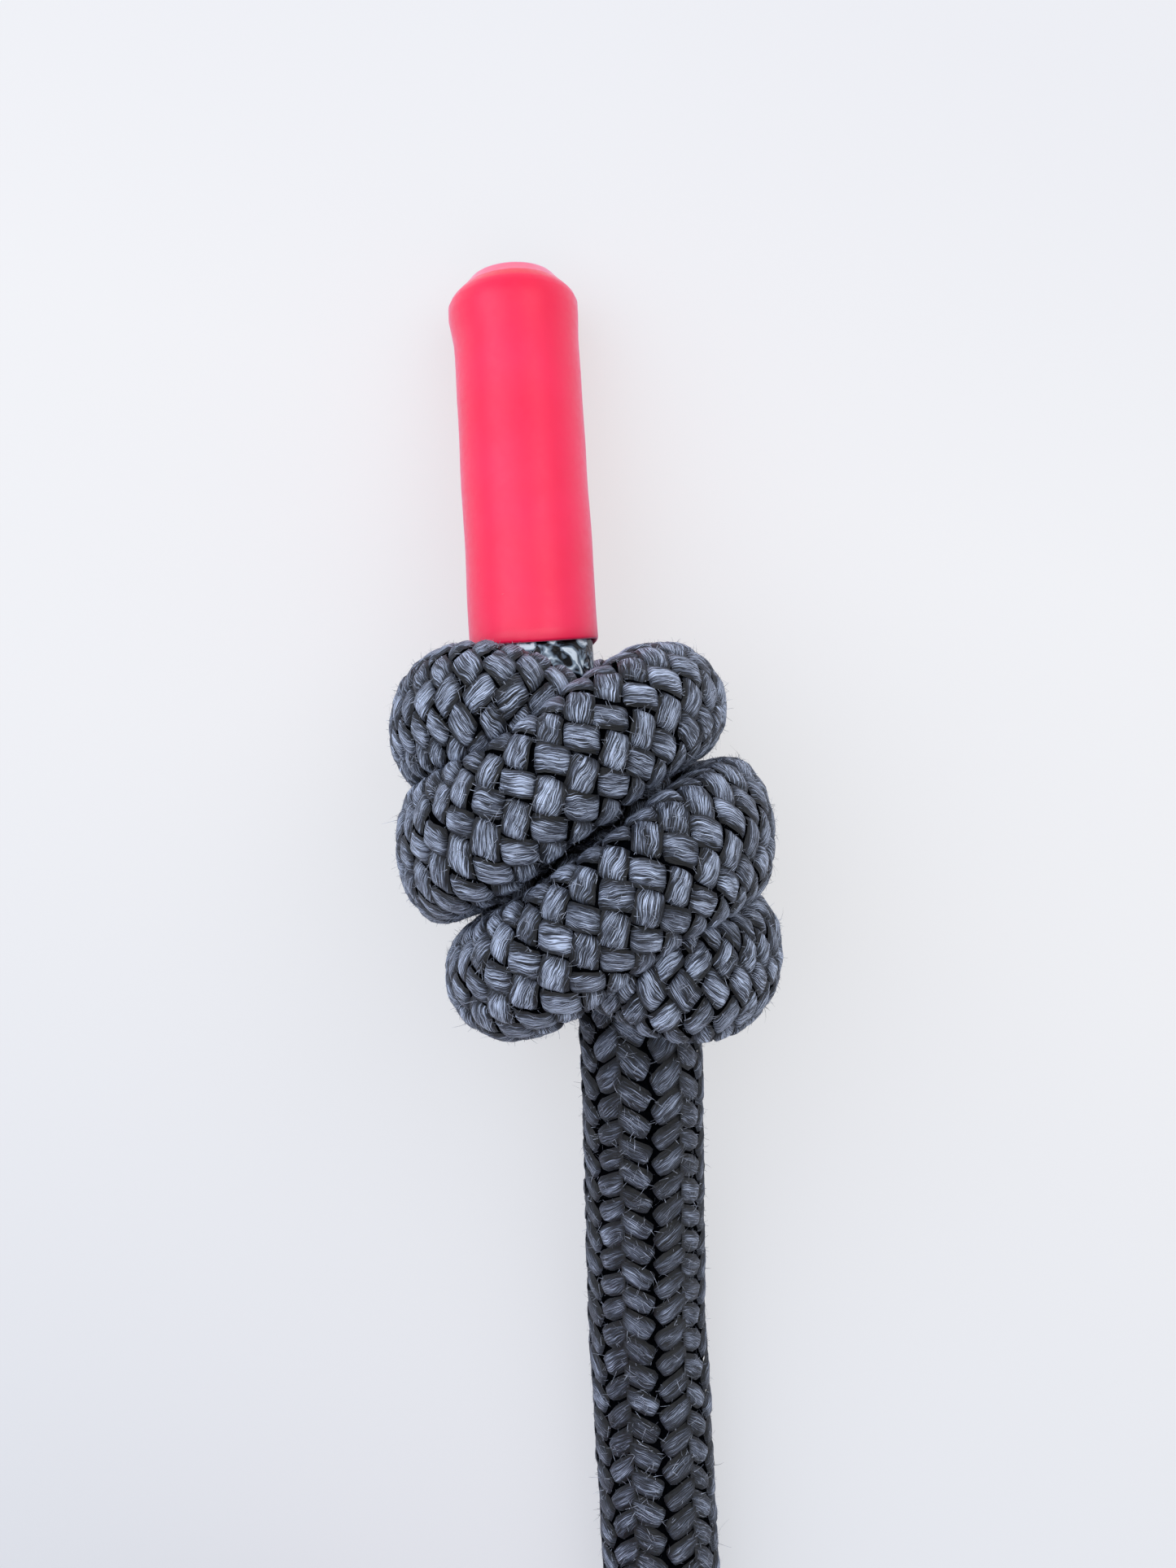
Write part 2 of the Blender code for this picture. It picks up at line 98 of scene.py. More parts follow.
# half of the knot's wraps, from where the rope goes in; the other half is this one turned about
knotHeight = 0.0292
knotHalf = mm * np.array((
    (9.1, -34.0, -2.0), (8.0, -23.0, -2.6), (7.2, -12.0, -4.8), (6.6, 0.0, -1.2),
    (4.1, 8.6, 3.0), (-1.8, 15.0, 7.4), (-8.8, 19.4, 12.8), (-15.4, 20.8, 15.4),
    (-21.3, 19.6, 10.8), (-23.2, 17.3, 0.4), (-20.0, 17.4, -11.8), (-10.2, 18.4, -20.2),
    (1.0, 19.3, -21.6), (10.1, 20.8, -14.6), (13.3, 21.5, -2.5), (11.9, 21.3, 10.0),
    (6.4, 18.2, 19.0), (-2.6, 11.6, 22.8), (-11.2, 5.8, 22.0), (-18.8, 1.2, 14.4),
    (-22.1, -0.8, 2.0), (-19.1, -0.8, -11.8), (-10.2, -0.2, -20.2), (0.0, 0.0, -22.2),
))
standingEnd = mm * np.array((9.35, -44.0, -5.2))
standingShares = (0.0, 0.5)
tailStart = mm * np.array((-7.58, 17.8, -0.2))
tailShares = (0.0, 0.1, 0.2, 0.6, 1.0)
capStart = mm * np.array((-8.51, 32.3, -4.0))
runPoints = mm * np.array((
    (10.34, -83.0, 11.52), (10.96, -91.0, 10.0), (11.5, -101.0, 10.0), (12.6, -121.0, 10.0),
    (13.7, -141.0, 10.0), (14.26, -151.0, 10.0), (15.1, -166.0, 9.8), (16.2, -186.0, 9.2),
    (17.7, -202.0, 8.4),
))
leadOut = mm * np.array((
    (-111.2, -16.0, 30.8), (-112.8, 10.0, 35.2), (-110.4, 34.0, 40.0), (-103.6, 53.6, 45.2),
    (-92.0, 66.4, 50.6),
))


# a smooth line through the points of a route, with even steps
def smoothLine(route, step, passes):
    points = np.array(route, float)
    points = np.vstack([2 * points[0] - points[1], points, 2 * points[-1] - points[-2]])
    line = []
    for before, start, end, after in zip(points, points[1:], points[2:], points[3:]):
        count = max(2, round(np.linalg.norm(end - start) / step))
        for t in np.arange(count) / count:
            line.append(0.5 * (2 * start + (end - before) * t
                               + (2 * before - 5 * start + 4 * end - after) * t**2
                               + (3 * start - before - 3 * end + after) * t**3))
    line.append(points[-2])
    line = spaced(np.array(line), step)
    for _ in range(passes):
        line[1:-1] = 0.5 * line[1:-1] + 0.25 * (line[:-2] + line[2:])
    return spaced(line, step)


def spaced(line, step):
    along = lengthsAlong(line)
    return readAt(along, line, np.linspace(0, along[-1], max(2, round(along[-1] / step)) + 1))


def lengthsAlong(line):
    return np.concatenate([[0], np.cumsum(np.linalg.norm(np.diff(line, axis=0), axis=1))])


def readAt(along, values, places):
    return np.stack([np.interp(places, along, values[:, axis]) for axis in range(3)], axis=-1)


def unit(vector):
    return vector / np.linalg.norm(vector)


def eased(low, high, value):
    t = np.clip((value - low) / (high - low), 0, 1)
    return t * t * (3 - 2 * t)


def evened(values, width):
    return np.convolve(np.pad(values, width // 2, "edge"), np.ones(width) / width, "valid")


def knotLine():
    knot = np.vstack([knotHalf, (knotHalf[:-1] * (-1, -1, 1))[::-1]])[:-2]
    stub = standingEnd + (knot[0] - standingEnd) * np.array(standingShares)[:, None]
    toCap = capStart - tailStart
    toTip = cap["length"] - cap["lip"] - cap["shoulder"] - tip["length"]
    tailEnd = tailStart + toCap * (1 + toTip / np.linalg.norm(toCap))
    tail = tailStart + (tailEnd - tailStart) * np.array(tailShares)[:, None]
    return smoothLine(np.vstack([stub, knot, tail]) + (0, 0, knotHeight), rope["step"], rope["knotSmoothing"])


# end B lies on the coil's two layers
def endPlace():
    height = 2 * rope["diameter"] + coil["turnGap"] - rope["restShare"] * rope["diameter"] + rope["pieceGap"]
    x, y = np.array(coil["place"]) + coil["endPlace"]
    turn = Matrix.Rotation(math.radians(coil["endTurn"]), 4, "Z")
    return Matrix.Translation((x, y, height)) @ turn


# the coil winds inwards in its lower layer and outwards in its upper one
def coilPoint(turn):
    middle = coil["turns"] / 2
    pitch = rope["diameter"] + coil["turnGap"]
    radius = coil["middleDiameter"] / 2 - pitch * middle / 2 + pitch * abs(turn - middle)
    angle = math.radians(coil["startDegrees"]) - 2 * math.pi * turn
    climb = float(eased(middle - coil["climbTurns"], middle + coil["climbTurns"], turn))
    return (
        coil["place"][0] + radius * math.cos(angle),
        coil["place"][1] + radius * math.sin(angle),
        (0.5 - rope["restShare"]) * rope["diameter"] + pitch * climb,
    )


def freeLine(line, place):
    start, startWay = line[0], unit(line[0] - line[1])
    finish = np.array(place @ Vector(start))
    finishWay = np.array(place.to_3x3() @ Vector(-startWay))
    turns = np.arange(coil["turns"] * coil["pointsPerTurn"] + 1) / coil["pointsPerTurn"]
    route = [start + startWay * far for far in rope["straightEnds"]]
    route += list(runPoints)
    route += [coilPoint(turn) for turn in turns]
    route += list(leadOut + np.array((*coil["place"], 0.0)))
    route += [finish - finishWay * far for far in reversed(rope["straightEnds"])]
    return smoothLine(route, rope["step"], rope["freeSmoothing"])


# two directions across the line at each of its points, with no twist from one to the next
def frames(line):
    ways = np.gradient(line, axis=0)
    ways /= np.linalg.norm(ways, axis=1)[:, None]
    side = Vector((0, 0, 1)).cross(Vector(ways[0])).normalized()
    sides = []
    for earlier, way in zip(np.vstack([ways[:1], ways[:-1]]), ways):
        side = Vector(earlier).rotation_difference(Vector(way)) @ side
        side = (side - side.dot(Vector(way)) * Vector(way)).normalized()
        sides.append(side)
    sides = np.array(sides)
    return sides, np.cross(ways, sides)


# the whole rope in one line: tip A, knot A, the free rope, knot B, tip B
endLine = knotLine()
placeB = endPlace()
placeBack = np.array(placeB.inverted())
endLineB = np.array([placeB @ Vector(point) for point in endLine])
free = freeLine(endLine, placeB)
wholeLine = np.vstack([endLine[::-1], free[1:-1], endLineB])
wholeAlong = lengthsAlong(wholeLine)
knotLength = lengthsAlong(endLine)[-1]
wholeLength = wholeAlong[-1]
nearCap = np.linalg.norm(endLine - (capStart + (0, 0, knotHeight)), axis=1).argmin()
capAt = knotLength - lengthsAlong(endLine)[nearCap]  # from the tip
sideways, upwards = frames(wholeLine)
print("rope line:", round(float(wholeLength), 3), "m, knots", round(float(knotLength), 3), "m each")

# the camera stands over the knot
view = {"place": (0.00033, 0.00909, 0.430), "focalPixels": 3037, "photoHeight": 1927, "nearest": 0.01}
camera = bpy.data.objects.new("camera", bpy.data.cameras.new("camera"))
scene.collection.objects.link(camera)
camera.location = view["place"]
camera.data.sensor_fit = "VERTICAL"
camera.data.sensor_height = 36.0
camera.data.lens = camera.data.sensor_height * view["focalPixels"] / view["photoHeight"]
camera.data.clip_start = view["nearest"]
scene.camera = camera

# how the rope is pressed, in shares of its diameter unless a note says otherwise
pressing = {
    "wrapWidth": (1.06, 1.36),  # in the middle of a wrap, and where it turns down
    "lobeWidth": 1.16,  # where it turns down beside the cap or the run
    "wrapThickness": 0.90,
    "wrapReach": (0.55, 1.0),  # from the middle of the knot's own core
    "wrapEnd": 2,  # along the core, where the wraps are over
    "wrapTurn": (0.35, 0.95),  # to the side, where a wrap turns down
    "bandTurn": (-0.55, 0.15),  # from the lobes beside the cap and the run to the bands between them
    "passReach": 3,  # how near another pass is looked for
    "passPress": 0.0010,  # metres that the strands of two touching passes share
    "passSoftness": 0.0009,  # metres
    "runEnd": (0.016, 0.034),  # metres from the knot's ends, where the braid gets flat
    "capEnd": (0.006, 0.020),
}


def ropeRadius(fromTip):
    inside = cap["diameter"] / 2 - cap["wall"] - rope["pieceGap"]
    tapeEnd = capAt + tape["length"]
    share = eased(tapeEnd + tape["taperShare"] * rope["diameter"], tapeEnd, fromTip)
    return rope["diameter"] / 2 + share * (inside - tape["squeeze"] - rope["diameter"] / 2)


# how far the rope's side lies from its middle, pressed by its knot's core and by its own passes
def sectionReach(centre, directions, radius, local, localDirections):
    diameter = rope["diameter"]
    inward = np.array([-local[0], 0, knotHeight - local[2]])
    distance = np.linalg.norm(inward)
    low, high = (share * diameter for share in pressing["wrapReach"])
    wrapped = eased(low, high, distance) * eased(pressing["wrapEnd"] * diameter, high, abs(local[1]))
    pressed = (localDirections @ inward / max(distance, rope["step"])) ** 2
    thick = 1 + wrapped * (pressing["wrapThickness"] - 1)
    turned = eased(*(share * diameter for share in pressing["wrapTurn"]), abs(local[0]))
    band = eased(*pressing["bandTurn"], local[0] * local[1] / diameter**2)
    spread = pressing["lobeWidth"] + band * (pressing["wrapWidth"][1] - pressing["lobeWidth"])
    wide = 1 + wrapped * (np.interp(turned, (0, 1), (pressing["wrapWidth"][0], spread)) - 1)
    reach = radius / np.sqrt(pressed / thick**2 + (1 - pressed) / wide**2)
    towards = wholeLine - centre
    squares = (towards**2).sum(axis=1)
    near = (squares > rope["step"] ** 2 / 2) & (squares < (pressing["passReach"] * diameter) ** 2)
    facing = directions @ towards[near].T
    halfway = squares[near] / (2 * np.maximum(facing, 1e-5))
    limit = halfway.min(axis=1) + pressing["passPress"]
    soft = pressing["passSoftness"]
    return np.minimum(reach, limit) - soft * np.log1p(np.exp(-np.abs(reach - limit) / soft))


# how far a knot pulls the braid flat: 0 on the free rope, 1 in the knot
def pressedAt(places):
    fromTip = np.minimum(places, wholeLength - places)
    share = eased(*(knotLength - far for far in pressing["runEnd"]), fromTip)
    return share * eased(*(capAt + far for far in pressing["capEnd"]), fromTip)


# the braid: 24 strands, two over and two under, seen as 12 half columns
braid = {
    "columns": 12,
    "pitch": 0.00455,  # from one strand to the next along the rope
    "valleyRight": 7.0,  # degrees from the top of the run to the nearest dark zigzag
    "sides": 36,
    "rings": (0.0024, 0.0016),  # coarse and fine steps along the rope
    "strandPoints": ((7, 5), (10, 6)),  # along and across a strand, coarse and fine
    "seed": 7,
    # each pair: on the free rope, and where the knot pulls the braid flat
    "rise": (0.58, 0.78),
    "lean": (0.22, 0.38),
    "width": (0.97, 1.10),
    "valleyReach": (0.98, 1.04),
    "peakReach": (1.14, 1.06),
    "crown": (0.00100, 0.00054),
    "sink": (0.0018, 0.0013),
    "bow": (0.00030, 0.00044),
    "gapDepth": (0.0009, 0.0010),
    "taper": (0.05, 0.22),  # of a strand's end in the knot, and added on the free rope
    "dive": (0.72, 1.10),  # where along a strand it goes under the next one
    "rounding": (0.24, 0.76),  # across a strand, all over it and at its edges
    # rows lie closer where the rope's outside is drawn out round a bend
    "evenFrom": 1.35,
    "evenRun": 0.11,  # length of run whose rows are spaced evenly as seen from above
    "evenStep": 0.0015,
    "lobeRows": 0.45,  # more rows on the lobes beside the cap and the run
    "lobeSpot": (-0.018, 0.020, 0.013),
    "lobeShare": 0.55,
}
# how unlike each other the strands are
strandChance = {
    "freeShare": 0.3,  # of it that is left on the free rope
    "width": (0.88, 1.07),
    "skew": 0.12,
    "rowShift": 0.07,
    "columnShift": 0.035,
    "wander": (0.42, 0.30),  # across a strand and along it
    "wanderSize": 1.3,
    "tilt": 0.00012,
    "height": 0.0001,
    "lumpSize": 420.0,
    "lumpHeight": 0.0007,
}


# rings round the rope at these places; knot says which end's core it is pressed to
def surfaceRings(places, knot):
    turns = 2 * math.pi * np.arange(braid["sides"]) / braid["sides"] + twistOffset
    centres = readAt(wholeAlong, wholeLine, places)
    sides = readAt(wholeAlong, sideways, places)
    ups = readAt(wholeAlong, upwards, places)
    rings = []
    for place, centre, side, up in zip(places, centres, sides, ups):
        directions = np.outer(np.cos(turns), side) + np.outer(np.sin(turns), up)
        local, localDirections = centre, directions
        if knot == "b":
            local = (placeBack @ (*centre, 1.0))[:3]
            localDirections = directions @ placeBack[:3, :3].T
        fromTip = min(place, wholeLength - place)
        reach = sectionReach(centre, directions, ropeRadius(fromTip), local, localDirections)
        ring = centre + directions * reach[:, None]
        ring[:, 2] = np.maximum(ring[:, 2], rope["leastHeight"])
        rings.append(ring)
    return np.array(rings), centres


# the braid is turned so that a dark zigzag lies beside the top of the run
halfColumn = 180.0 / braid["columns"]
runPlace = knotLength + 2 * rope["diameter"]
topSide, topUp = (readAt(wholeAlong, values, np.array([runPlace]))[0] for values in (sideways, upwards))
topAngle = math.atan2(topUp[2], topSide[2])
twistOffset = topAngle - math.radians(braid["valleyRight"] + halfColumn)


# length along the braid: more rows to the metre where a bend draws the outside out
def braidLengths():
    step = braid["evenStep"]
    places = np.arange(capAt, knotLength, step)
    rings, centres = surfaceRings(places, "a")
    drawn = np.percentile(np.linalg.norm(np.diff(rings, axis=0), axis=2) / step, 80, axis=1)
    extra = np.maximum(0, evened(drawn, 9) - braid["evenFrom"])
    for way in (1, -1):
        spot = np.array(braid["lobeSpot"]) * (way, way, 1) + (0, 0, knotHeight)
        near = np.linalg.norm(centres[:-1] - spot, axis=1) / (braid["lobeShare"] * rope["diameter"])
        extra += braid["lobeRows"] * np.exp(-near**2)
    runPlaces = knotLength + np.arange(0, braid["evenRun"], step)
    top = round((braid["valleyRight"] + halfColumn) * braid["sides"] / 360)
    topLine = surfaceRings(runPlaces, "a")[0][:, top]
    topDrawn = evened(np.linalg.norm(np.diff(topLine, axis=0), axis=1) / step, 5)
    fade = eased(braid["evenRun"], 0.8 * braid["evenRun"], runPlaces[:-1] - knotLength)
    middles = 0.5 * (wholeAlong[1:] + wholeAlong[:-1])
    share = 1 + np.interp(np.minimum(middles, wholeLength - middles), places[:-1], extra, left=0, right=0)
    share += np.interp(middles, runPlaces[:-1], (topDrawn - 1) * fade, left=0, right=0)
    return np.concatenate([[0], np.cumsum(share * np.diff(wholeAlong))])


braidAlong = braidLengths()
print("braid spaced:", round(float(braidAlong[-1] / braid["pitch"])), "rows")


# short forms for the nodes of one tree
class NodeBench:
    def __init__(self, tree):
        self.tree = tree

    def fill(self, socket, value):
        if isinstance(value, bpy.types.NodeSocket):
            self.tree.links.new(value, socket)
        else:
            socket.default_value = value

    def make(self, kind, inputs=None, **settings):
        made = self.tree.nodes.new(kind)
        for key, value in settings.items():
            setattr(made, key, value)
        for key, value in (inputs or {}).items():
            self.fill(made.inputs[key], value)
        return made

    def maths(self, operation, *values):
        return self.make("ShaderNodeMath", dict(enumerate(values)), operation=operation).outputs[0]

    def plus(self, first, *others):
        for other in others:
            first = self.maths("ADD", first, other)
        return first

    def minus(self, first, second):
        return self.maths("SUBTRACT", first, second)

    def times(self, first, *others):
        for other in others:
            first = self.maths("MULTIPLY", first, other)
        return first

    def vectors(self, operation, *values):
        return self.make("ShaderNodeVectorMath", dict(enumerate(values)), operation=operation).outputs[0]

    def scaled(self, vector, share):
        return self.make("ShaderNodeVectorMath", {0: vector, "Scale": share}, operation="SCALE").outputs[0]

    def combined(self, x, y, z):
        return self.make("ShaderNodeCombineXYZ", {0: x, 1: y, 2: z}).outputs[0]

    def split(self, vector):
        return self.make("ShaderNodeSeparateXYZ", {0: vector}).outputs

    def cloud(self, vector, scale, detail, **more):
        return self.make("ShaderNodeTexNoise", {
            "Vector": vector, "Scale": scale, "Detail": detail, **more}).outputs

    def mapped(self, value, low, high, first=0.0, last=1.0, way="LINEAR"):
        ends = {0: value, 1: low, 2: high, 3: first, 4: last}
        return self.make("ShaderNodeMapRange", ends, interpolation_type=way).outputs[0]

    # for the trees of Geometry Nodes
    def chance(self, low, high, seed, **more):
        made = self.make("FunctionNodeRandomValue", {"Seed": seed, **more}, data_type="FLOAT")
        self.fill(made.inputs[2], low)
        self.fill(made.inputs[3], high)
        return made.outputs[1]

    def named(self, name, kind):
        return self.make("GeometryNodeInputNamedAttribute", {"Name": name}, data_type=kind).outputs[0]

    def stored(self, geometry, name, kind, domain, value):
        return self.make("GeometryNodeStoreNamedAttribute", {
            "Geometry": geometry, "Name": name, "Value": value}, data_type=kind, domain=domain).outputs[0]

    def shaped(self, kind, geometry, **inputs):
        return self.make(kind, {"Geometry": geometry, **inputs}).outputs[0]

    def result(self, geometry):
        self.tree.links.new(geometry, self.tree.nodes.new("NodeGroupOutput").inputs[0])
        return self.tree

    # for the materials
    def attribute(self, name, out="Fac"):
        return self.make("ShaderNodeAttribute", attribute_name=name).outputs[out]

    def place(self):
        return self.make("ShaderNodeTexCoord").outputs["Object"]

    def ramp(self, value, stops):
        made = self.make("ShaderNodeValToRGB", {0: value})
        elements = made.color_ramp.elements
        elements[0].position, elements[0].color = stops[0][0], (*stops[0][1], 1.0)
        elements[1].position, elements[1].color = stops[-1][0], (*stops[-1][1], 1.0)
        for position, colour in stops[1:-1]:
            elements.new(position).color = (*colour, 1.0)
        return made.outputs[0]

    def bump(self, height, strength, distance):
        return self.make("ShaderNodeBump", {
            "Strength": strength, "Distance": distance, "Height": height}).outputs[0]


def newTree(name, inputs):
    tree = bpy.data.node_groups.new(name, "GeometryNodeTree")
    tree.interface.new_socket("Geometry", in_out="INPUT", socket_type="NodeSocketGeometry")
    for label, kind in inputs:
        tree.interface.new_socket(label, in_out="INPUT", socket_type="NodeSocket" + kind)
    tree.interface.new_socket("Geometry", in_out="OUTPUT", socket_type="NodeSocketGeometry")
    return NodeBench(tree), tree.nodes.new("NodeGroupInput").outputs


# Geometry Nodes: strands laid over the rings of a rope's surface, and the rope's inside under them, painted
# near black as shade
shapeKeys = ("rise", "lean", "width", "valleyReach", "peakReach", "crown", "sink", "bow", "gapDepth")


def braidTree():
    nodes, given = newTree("braidStrands", (
        ("Sides", "Int"), ("Rings", "Int"), ("Ring Step", "Float"), ("First Row", "Int"),
        ("Rows", "Int"), ("Start Place", "Float"), ("Pitch", "Float"),
        ("Points Along", "Int"), ("Points Across", "Int"), ("Margin", "Int"), ("Seed", "Int"),
        ("Strand Material", "Material"), ("Gap Painted Shade Material", "Material"),
    ) + tuple((key + kind, "Float") for key in shapeKeys for kind in ("Free", "Pressed")))
    make, maths, plus, minus, times = nodes.make, nodes.maths, nodes.plus, nodes.minus, nodes.times
    base, columns = given["Geometry"], braid["columns"]

    # one small grid for each strand that shows, all at the origin, kept apart by number
    count = times(given["Rows"], columns)
    line = make("GeometryNodeMeshLine", {"Count": count, "Offset": (0, 0, 0)})
    grid = make("GeometryNodeMeshGrid", {
        "Size X": 2.0, "Size Y": 2.0,
        "Vertices X": given["Points Along"], "Vertices Y": given["Points Across"]})
    flat = nodes.stored(grid.outputs["Mesh"], "fibreUV", "FLOAT2", "CORNER", grid.outputs["UV Map"])
    placed = make("GeometryNodeInstanceOnPoints", {"Points": line.outputs["Mesh"], "Instance": flat})
    number = make("GeometryNodeInputIndex").outputs[0]
    numbered = nodes.stored(placed.outputs["Instances"], "strandNumber", "INT", "INSTANCE", number)
    strands = nodes.shaped("GeometryNodeRealizeInstances", numbered)

    own = nodes.named("strandNumber", "INT")
    overall = plus(own, times(given["First Row"], columns))

    def chance(low, high, shift):
        return nodes.chance(low, high, plus(given["Seed"], shift), ID=overall)

    def evenChance(most, shift):
        return chance(-most, most, shift)

    column = maths("FLOORED_MODULO", own, columns)
    row = maths("FLOOR", maths("DIVIDE", own, columns))
    odd = maths("FLOORED_MODULO", column, 2)
    slant = minus(1, times(2, odd))
    position = make("GeometryNodeInputPosition").outputs[0]
    along, across = nodes.split(position)[:2]
    toValley = times(along, slant)  # 1 at the open side of each chevron, -1 at its peak

    def ringAt(rows):
        far = minus(times(rows, given["Pitch"]), given["Start Place"])
        return maths("DIVIDE", far, given["Ring Step"])

    # how far the knot presses the braid flat at the strand's own middle
    rowPlace = minus(plus(row, given["First Row"]), times(0.5, odd))
    pressed = make("GeometryNodeSampleIndex", {
        "Geometry": base, "Value": nodes.named("pressed", "FLOAT"),
        "Index": times(maths("FLOOR", ringAt(rowPlace)), given["Sides"])
    }, data_type="FLOAT", domain="POINT", clamp=True).outputs[0]

    def shape(key):
        change = minus(given[key + "Pressed"], given[key + "Free"])
        return plus(given[key + "Free"], times(pressed, change))

    # where the point lies: length along the rope, and columns round it
    uneven = plus(strandChance["freeShare"], times(1 - strandChance["freeShare"], pressed))
    atValley = maths("GREATER_THAN", toValley, 0.0)
    free = minus(1, pressed)
    reach = plus(times(atValley, shape("valleyReach")), times(minus(1, atValley), shape("peakReach")))
    out = times(along, reach)
    taper = plus(braid["taper"][0], times(braid["taper"][1], times(free, atValley)))
    blunt = minus(1, times(taper, maths("POWER", maths("ABSOLUTE", along), 4)))
    wide = times(across, blunt, times(shape("width"), chance(*strandChance["width"], 1)))
    wide = plus(wide, times(along, evenChance(strandChance["skew"], 7), uneven))
    size = strandChance["wanderSize"]
    ownSpot = nodes.combined(times(along, size), times(across, size), times(overall, 7.3))
    wander = nodes.split(nodes.cloud(ownSpot, 1.0, 1.0)[1])
    wide = plus(wide, times(minus(wander[0], 0.5), times(uneven, strandChance["wander"][0])))
    out = plus(out, times(minus(wander[1], 0.5), times(uneven, strandChance["wander"][1])))
    peak = times(free, minus(0.5, times(0.5, toValley)))
    lean = times(shape("lean"), minus(1, peak))
    upShare = minus(0.5, times(lean, shape("rise")))
    step = minus(times(out, 0.5, shape("rise")), times(wide, upShare))
    rowShift = times(evenChance(strandChance["rowShift"], 2), uneven)
    ring = ringAt(plus(rowPlace, rowShift, times(slant, step)))
    turn = plus(plus(column, times(evenChance(strandChance["columnShift"], 3), uneven)),
                plus(times(out, 0.5), times(wide, lean)))

    # how far the point lies under the rope's surface
    dive = nodes.mapped(maths("ABSOLUTE", out), *braid["dive"], way="SMOOTHSTEP")
    shown = times(free, minus(1, atValley))
    squared = times(across, across)
    allOver, atEdges = braid["rounding"]
    rounded = plus(times(allOver, squared), times(atEdges, maths("POWER", squared, 4)))
    rounded = times(rounded, minus(1, times(0.5, peak)))
    depth = plus(
        times(dive, minus(1, shown), shape("sink")), times(rounded, shape("crown")),
        times(out, out, times(shape("bow"), minus(1, shown))),
        times(across, evenChance(strandChance["tilt"], 4)), evenChance(strandChance["height"], 6))

    # read the rope's surface and middle there
    middle = nodes.named("ringMiddle", "FLOAT_VECTOR")
    ring = maths("MINIMUM", maths("MAXIMUM", ring, 0.0), minus(given["Rings"], 1.001))
    side = times(turn, maths("DIVIDE", given["Sides"], columns))
    ringLow, sideLow = maths("FLOOR", ring), maths("FLOOR", side)
    ringShare, sideShare = minus(ring, ringLow), minus(side, sideLow)

    def sample(value, ownRing, ownSide):
        wrapped = maths("FLOORED_MODULO", ownSide, given["Sides"])
        index = plus(times(ownRing, given["Sides"]), wrapped, 0.25)
        return make("GeometryNodeSampleIndex", {"Geometry": base, "Value": value, "Index": index},
                    data_type="FLOAT_VECTOR", domain="POINT").outputs[0]

    def mixed(share, first, second):
        return make("ShaderNodeMix", {0: share, 4: first, 5: second}, data_type="VECTOR").outputs[1]

    ringHigh, sideHigh = plus(ringLow, 1), plus(sideLow, 1)
    near = mixed(sideShare, sample(position, ringLow, sideLow), sample(position, ringLow, sideHigh))
    far = mixed(sideShare, sample(position, ringHigh, sideLow), sample(position, ringHigh, sideHigh))
    surface = mixed(ringShare, near, far)
    centre = mixed(ringShare, sample(middle, ringLow, 0.0), sample(middle, ringHigh, 0.0))
    outward = nodes.vectors("NORMALIZE", nodes.vectors("SUBTRACT", surface, centre))
    lumps = nodes.cloud(surface, strandChance["lumpSize"], 1.0)[0]
    lumpy = times(minus(lumps, 0.5), strandChance["lumpHeight"])
    inwards = nodes.scaled(outward, times(plus(depth, lumpy), -1))
    laid = nodes.shaped("GeometryNodeSetPosition", strands, Position=nodes.vectors("ADD", surface, inwards))
    for name, value in (("strandShade", chance(0.0, 1.0, 5)), ("sunkShare", maths("DIVIDE", depth, 0.002)),
                        ("looseShare", free), ("peakShare", peak)):
        laid = nodes.stored(laid, name, "FLOAT", "POINT", value)

    # the rope's inside, seen between the strands, painted near black as shade
    ringNumber = maths("FLOOR", maths("DIVIDE", number, given["Sides"]))
    before = maths("LESS_THAN", ringNumber, given["Margin"])
    after = maths("GREATER_THAN", ringNumber, minus(minus(given["Rings"], 1), given["Margin"]))
    inner = nodes.shaped("GeometryNodeDeleteGeometry", base, Selection=maths("MAXIMUM", before, after))
    inwardWay = nodes.vectors("NORMALIZE", nodes.vectors("SUBTRACT", middle, position))
    deeper = minus(given["gapDepthPressed"], given["gapDepthFree"])
    gap = plus(given["gapDepthFree"], times(nodes.named("pressed", "FLOAT"), deeper))
    inner = nodes.shaped("GeometryNodeSetPosition", inner, Offset=nodes.scaled(inwardWay, gap))

    joined = make("GeometryNodeJoinGeometry")
    nodes.tree.links.new(inner, joined.inputs[0])
    nodes.tree.links.new(laid, joined.inputs[0])
    whole = nodes.shaped("GeometryNodeSetShadeSmooth", joined.outputs[0])
    whole = nodes.shaped("GeometryNodeRealizeInstances", whole)
    onStrand = maths("GREATER_THAN", nodes.named("strandShade", "FLOAT"), 0.0)
    whole = nodes.shaped("GeometryNodeSetMaterial", whole, Material=given["Gap Painted Shade Material"])
    return nodes.result(nodes.shaped("GeometryNodeSetMaterial", whole, Selection=onStrand,
                                     Material=given["Strand Material"]))


def keptAboveFloor(mesh):
    places = np.empty(3 * len(mesh.vertices))
    mesh.vertices.foreach_get("co", places)
    places[2::3] = np.maximum(places[2::3], 0.0)
    mesh.vertices.foreach_set("co", places)
    mesh.update()


# the plain mesh that a tree makes of a base mesh
def builtByNodes(name, base, tree, values):
    holder = bpy.data.objects.new(name, base)
    scene.collection.objects.link(holder)
    modifier = holder.modifiers.new("nodes", "NODES")
    modifier.node_group = tree
    sockets = {item.name: item.identifier for item in tree.interface.items_tree
               if item.item_type == "SOCKET" and item.in_out == "INPUT"}
    for label, value in values.items():
        modifier[sockets[label]] = value
    graph = bpy.context.evaluated_depsgraph_get()
    mesh = bpy.data.meshes.new_from_object(holder.evaluated_get(graph))
    bpy.data.objects.remove(holder, do_unlink=True)
    bpy.data.meshes.remove(base)
    mesh.name = name
    keptAboveFloor(mesh)
    made = bpy.data.objects.new(name, mesh)
    scene.collection.objects.link(made)
    return made


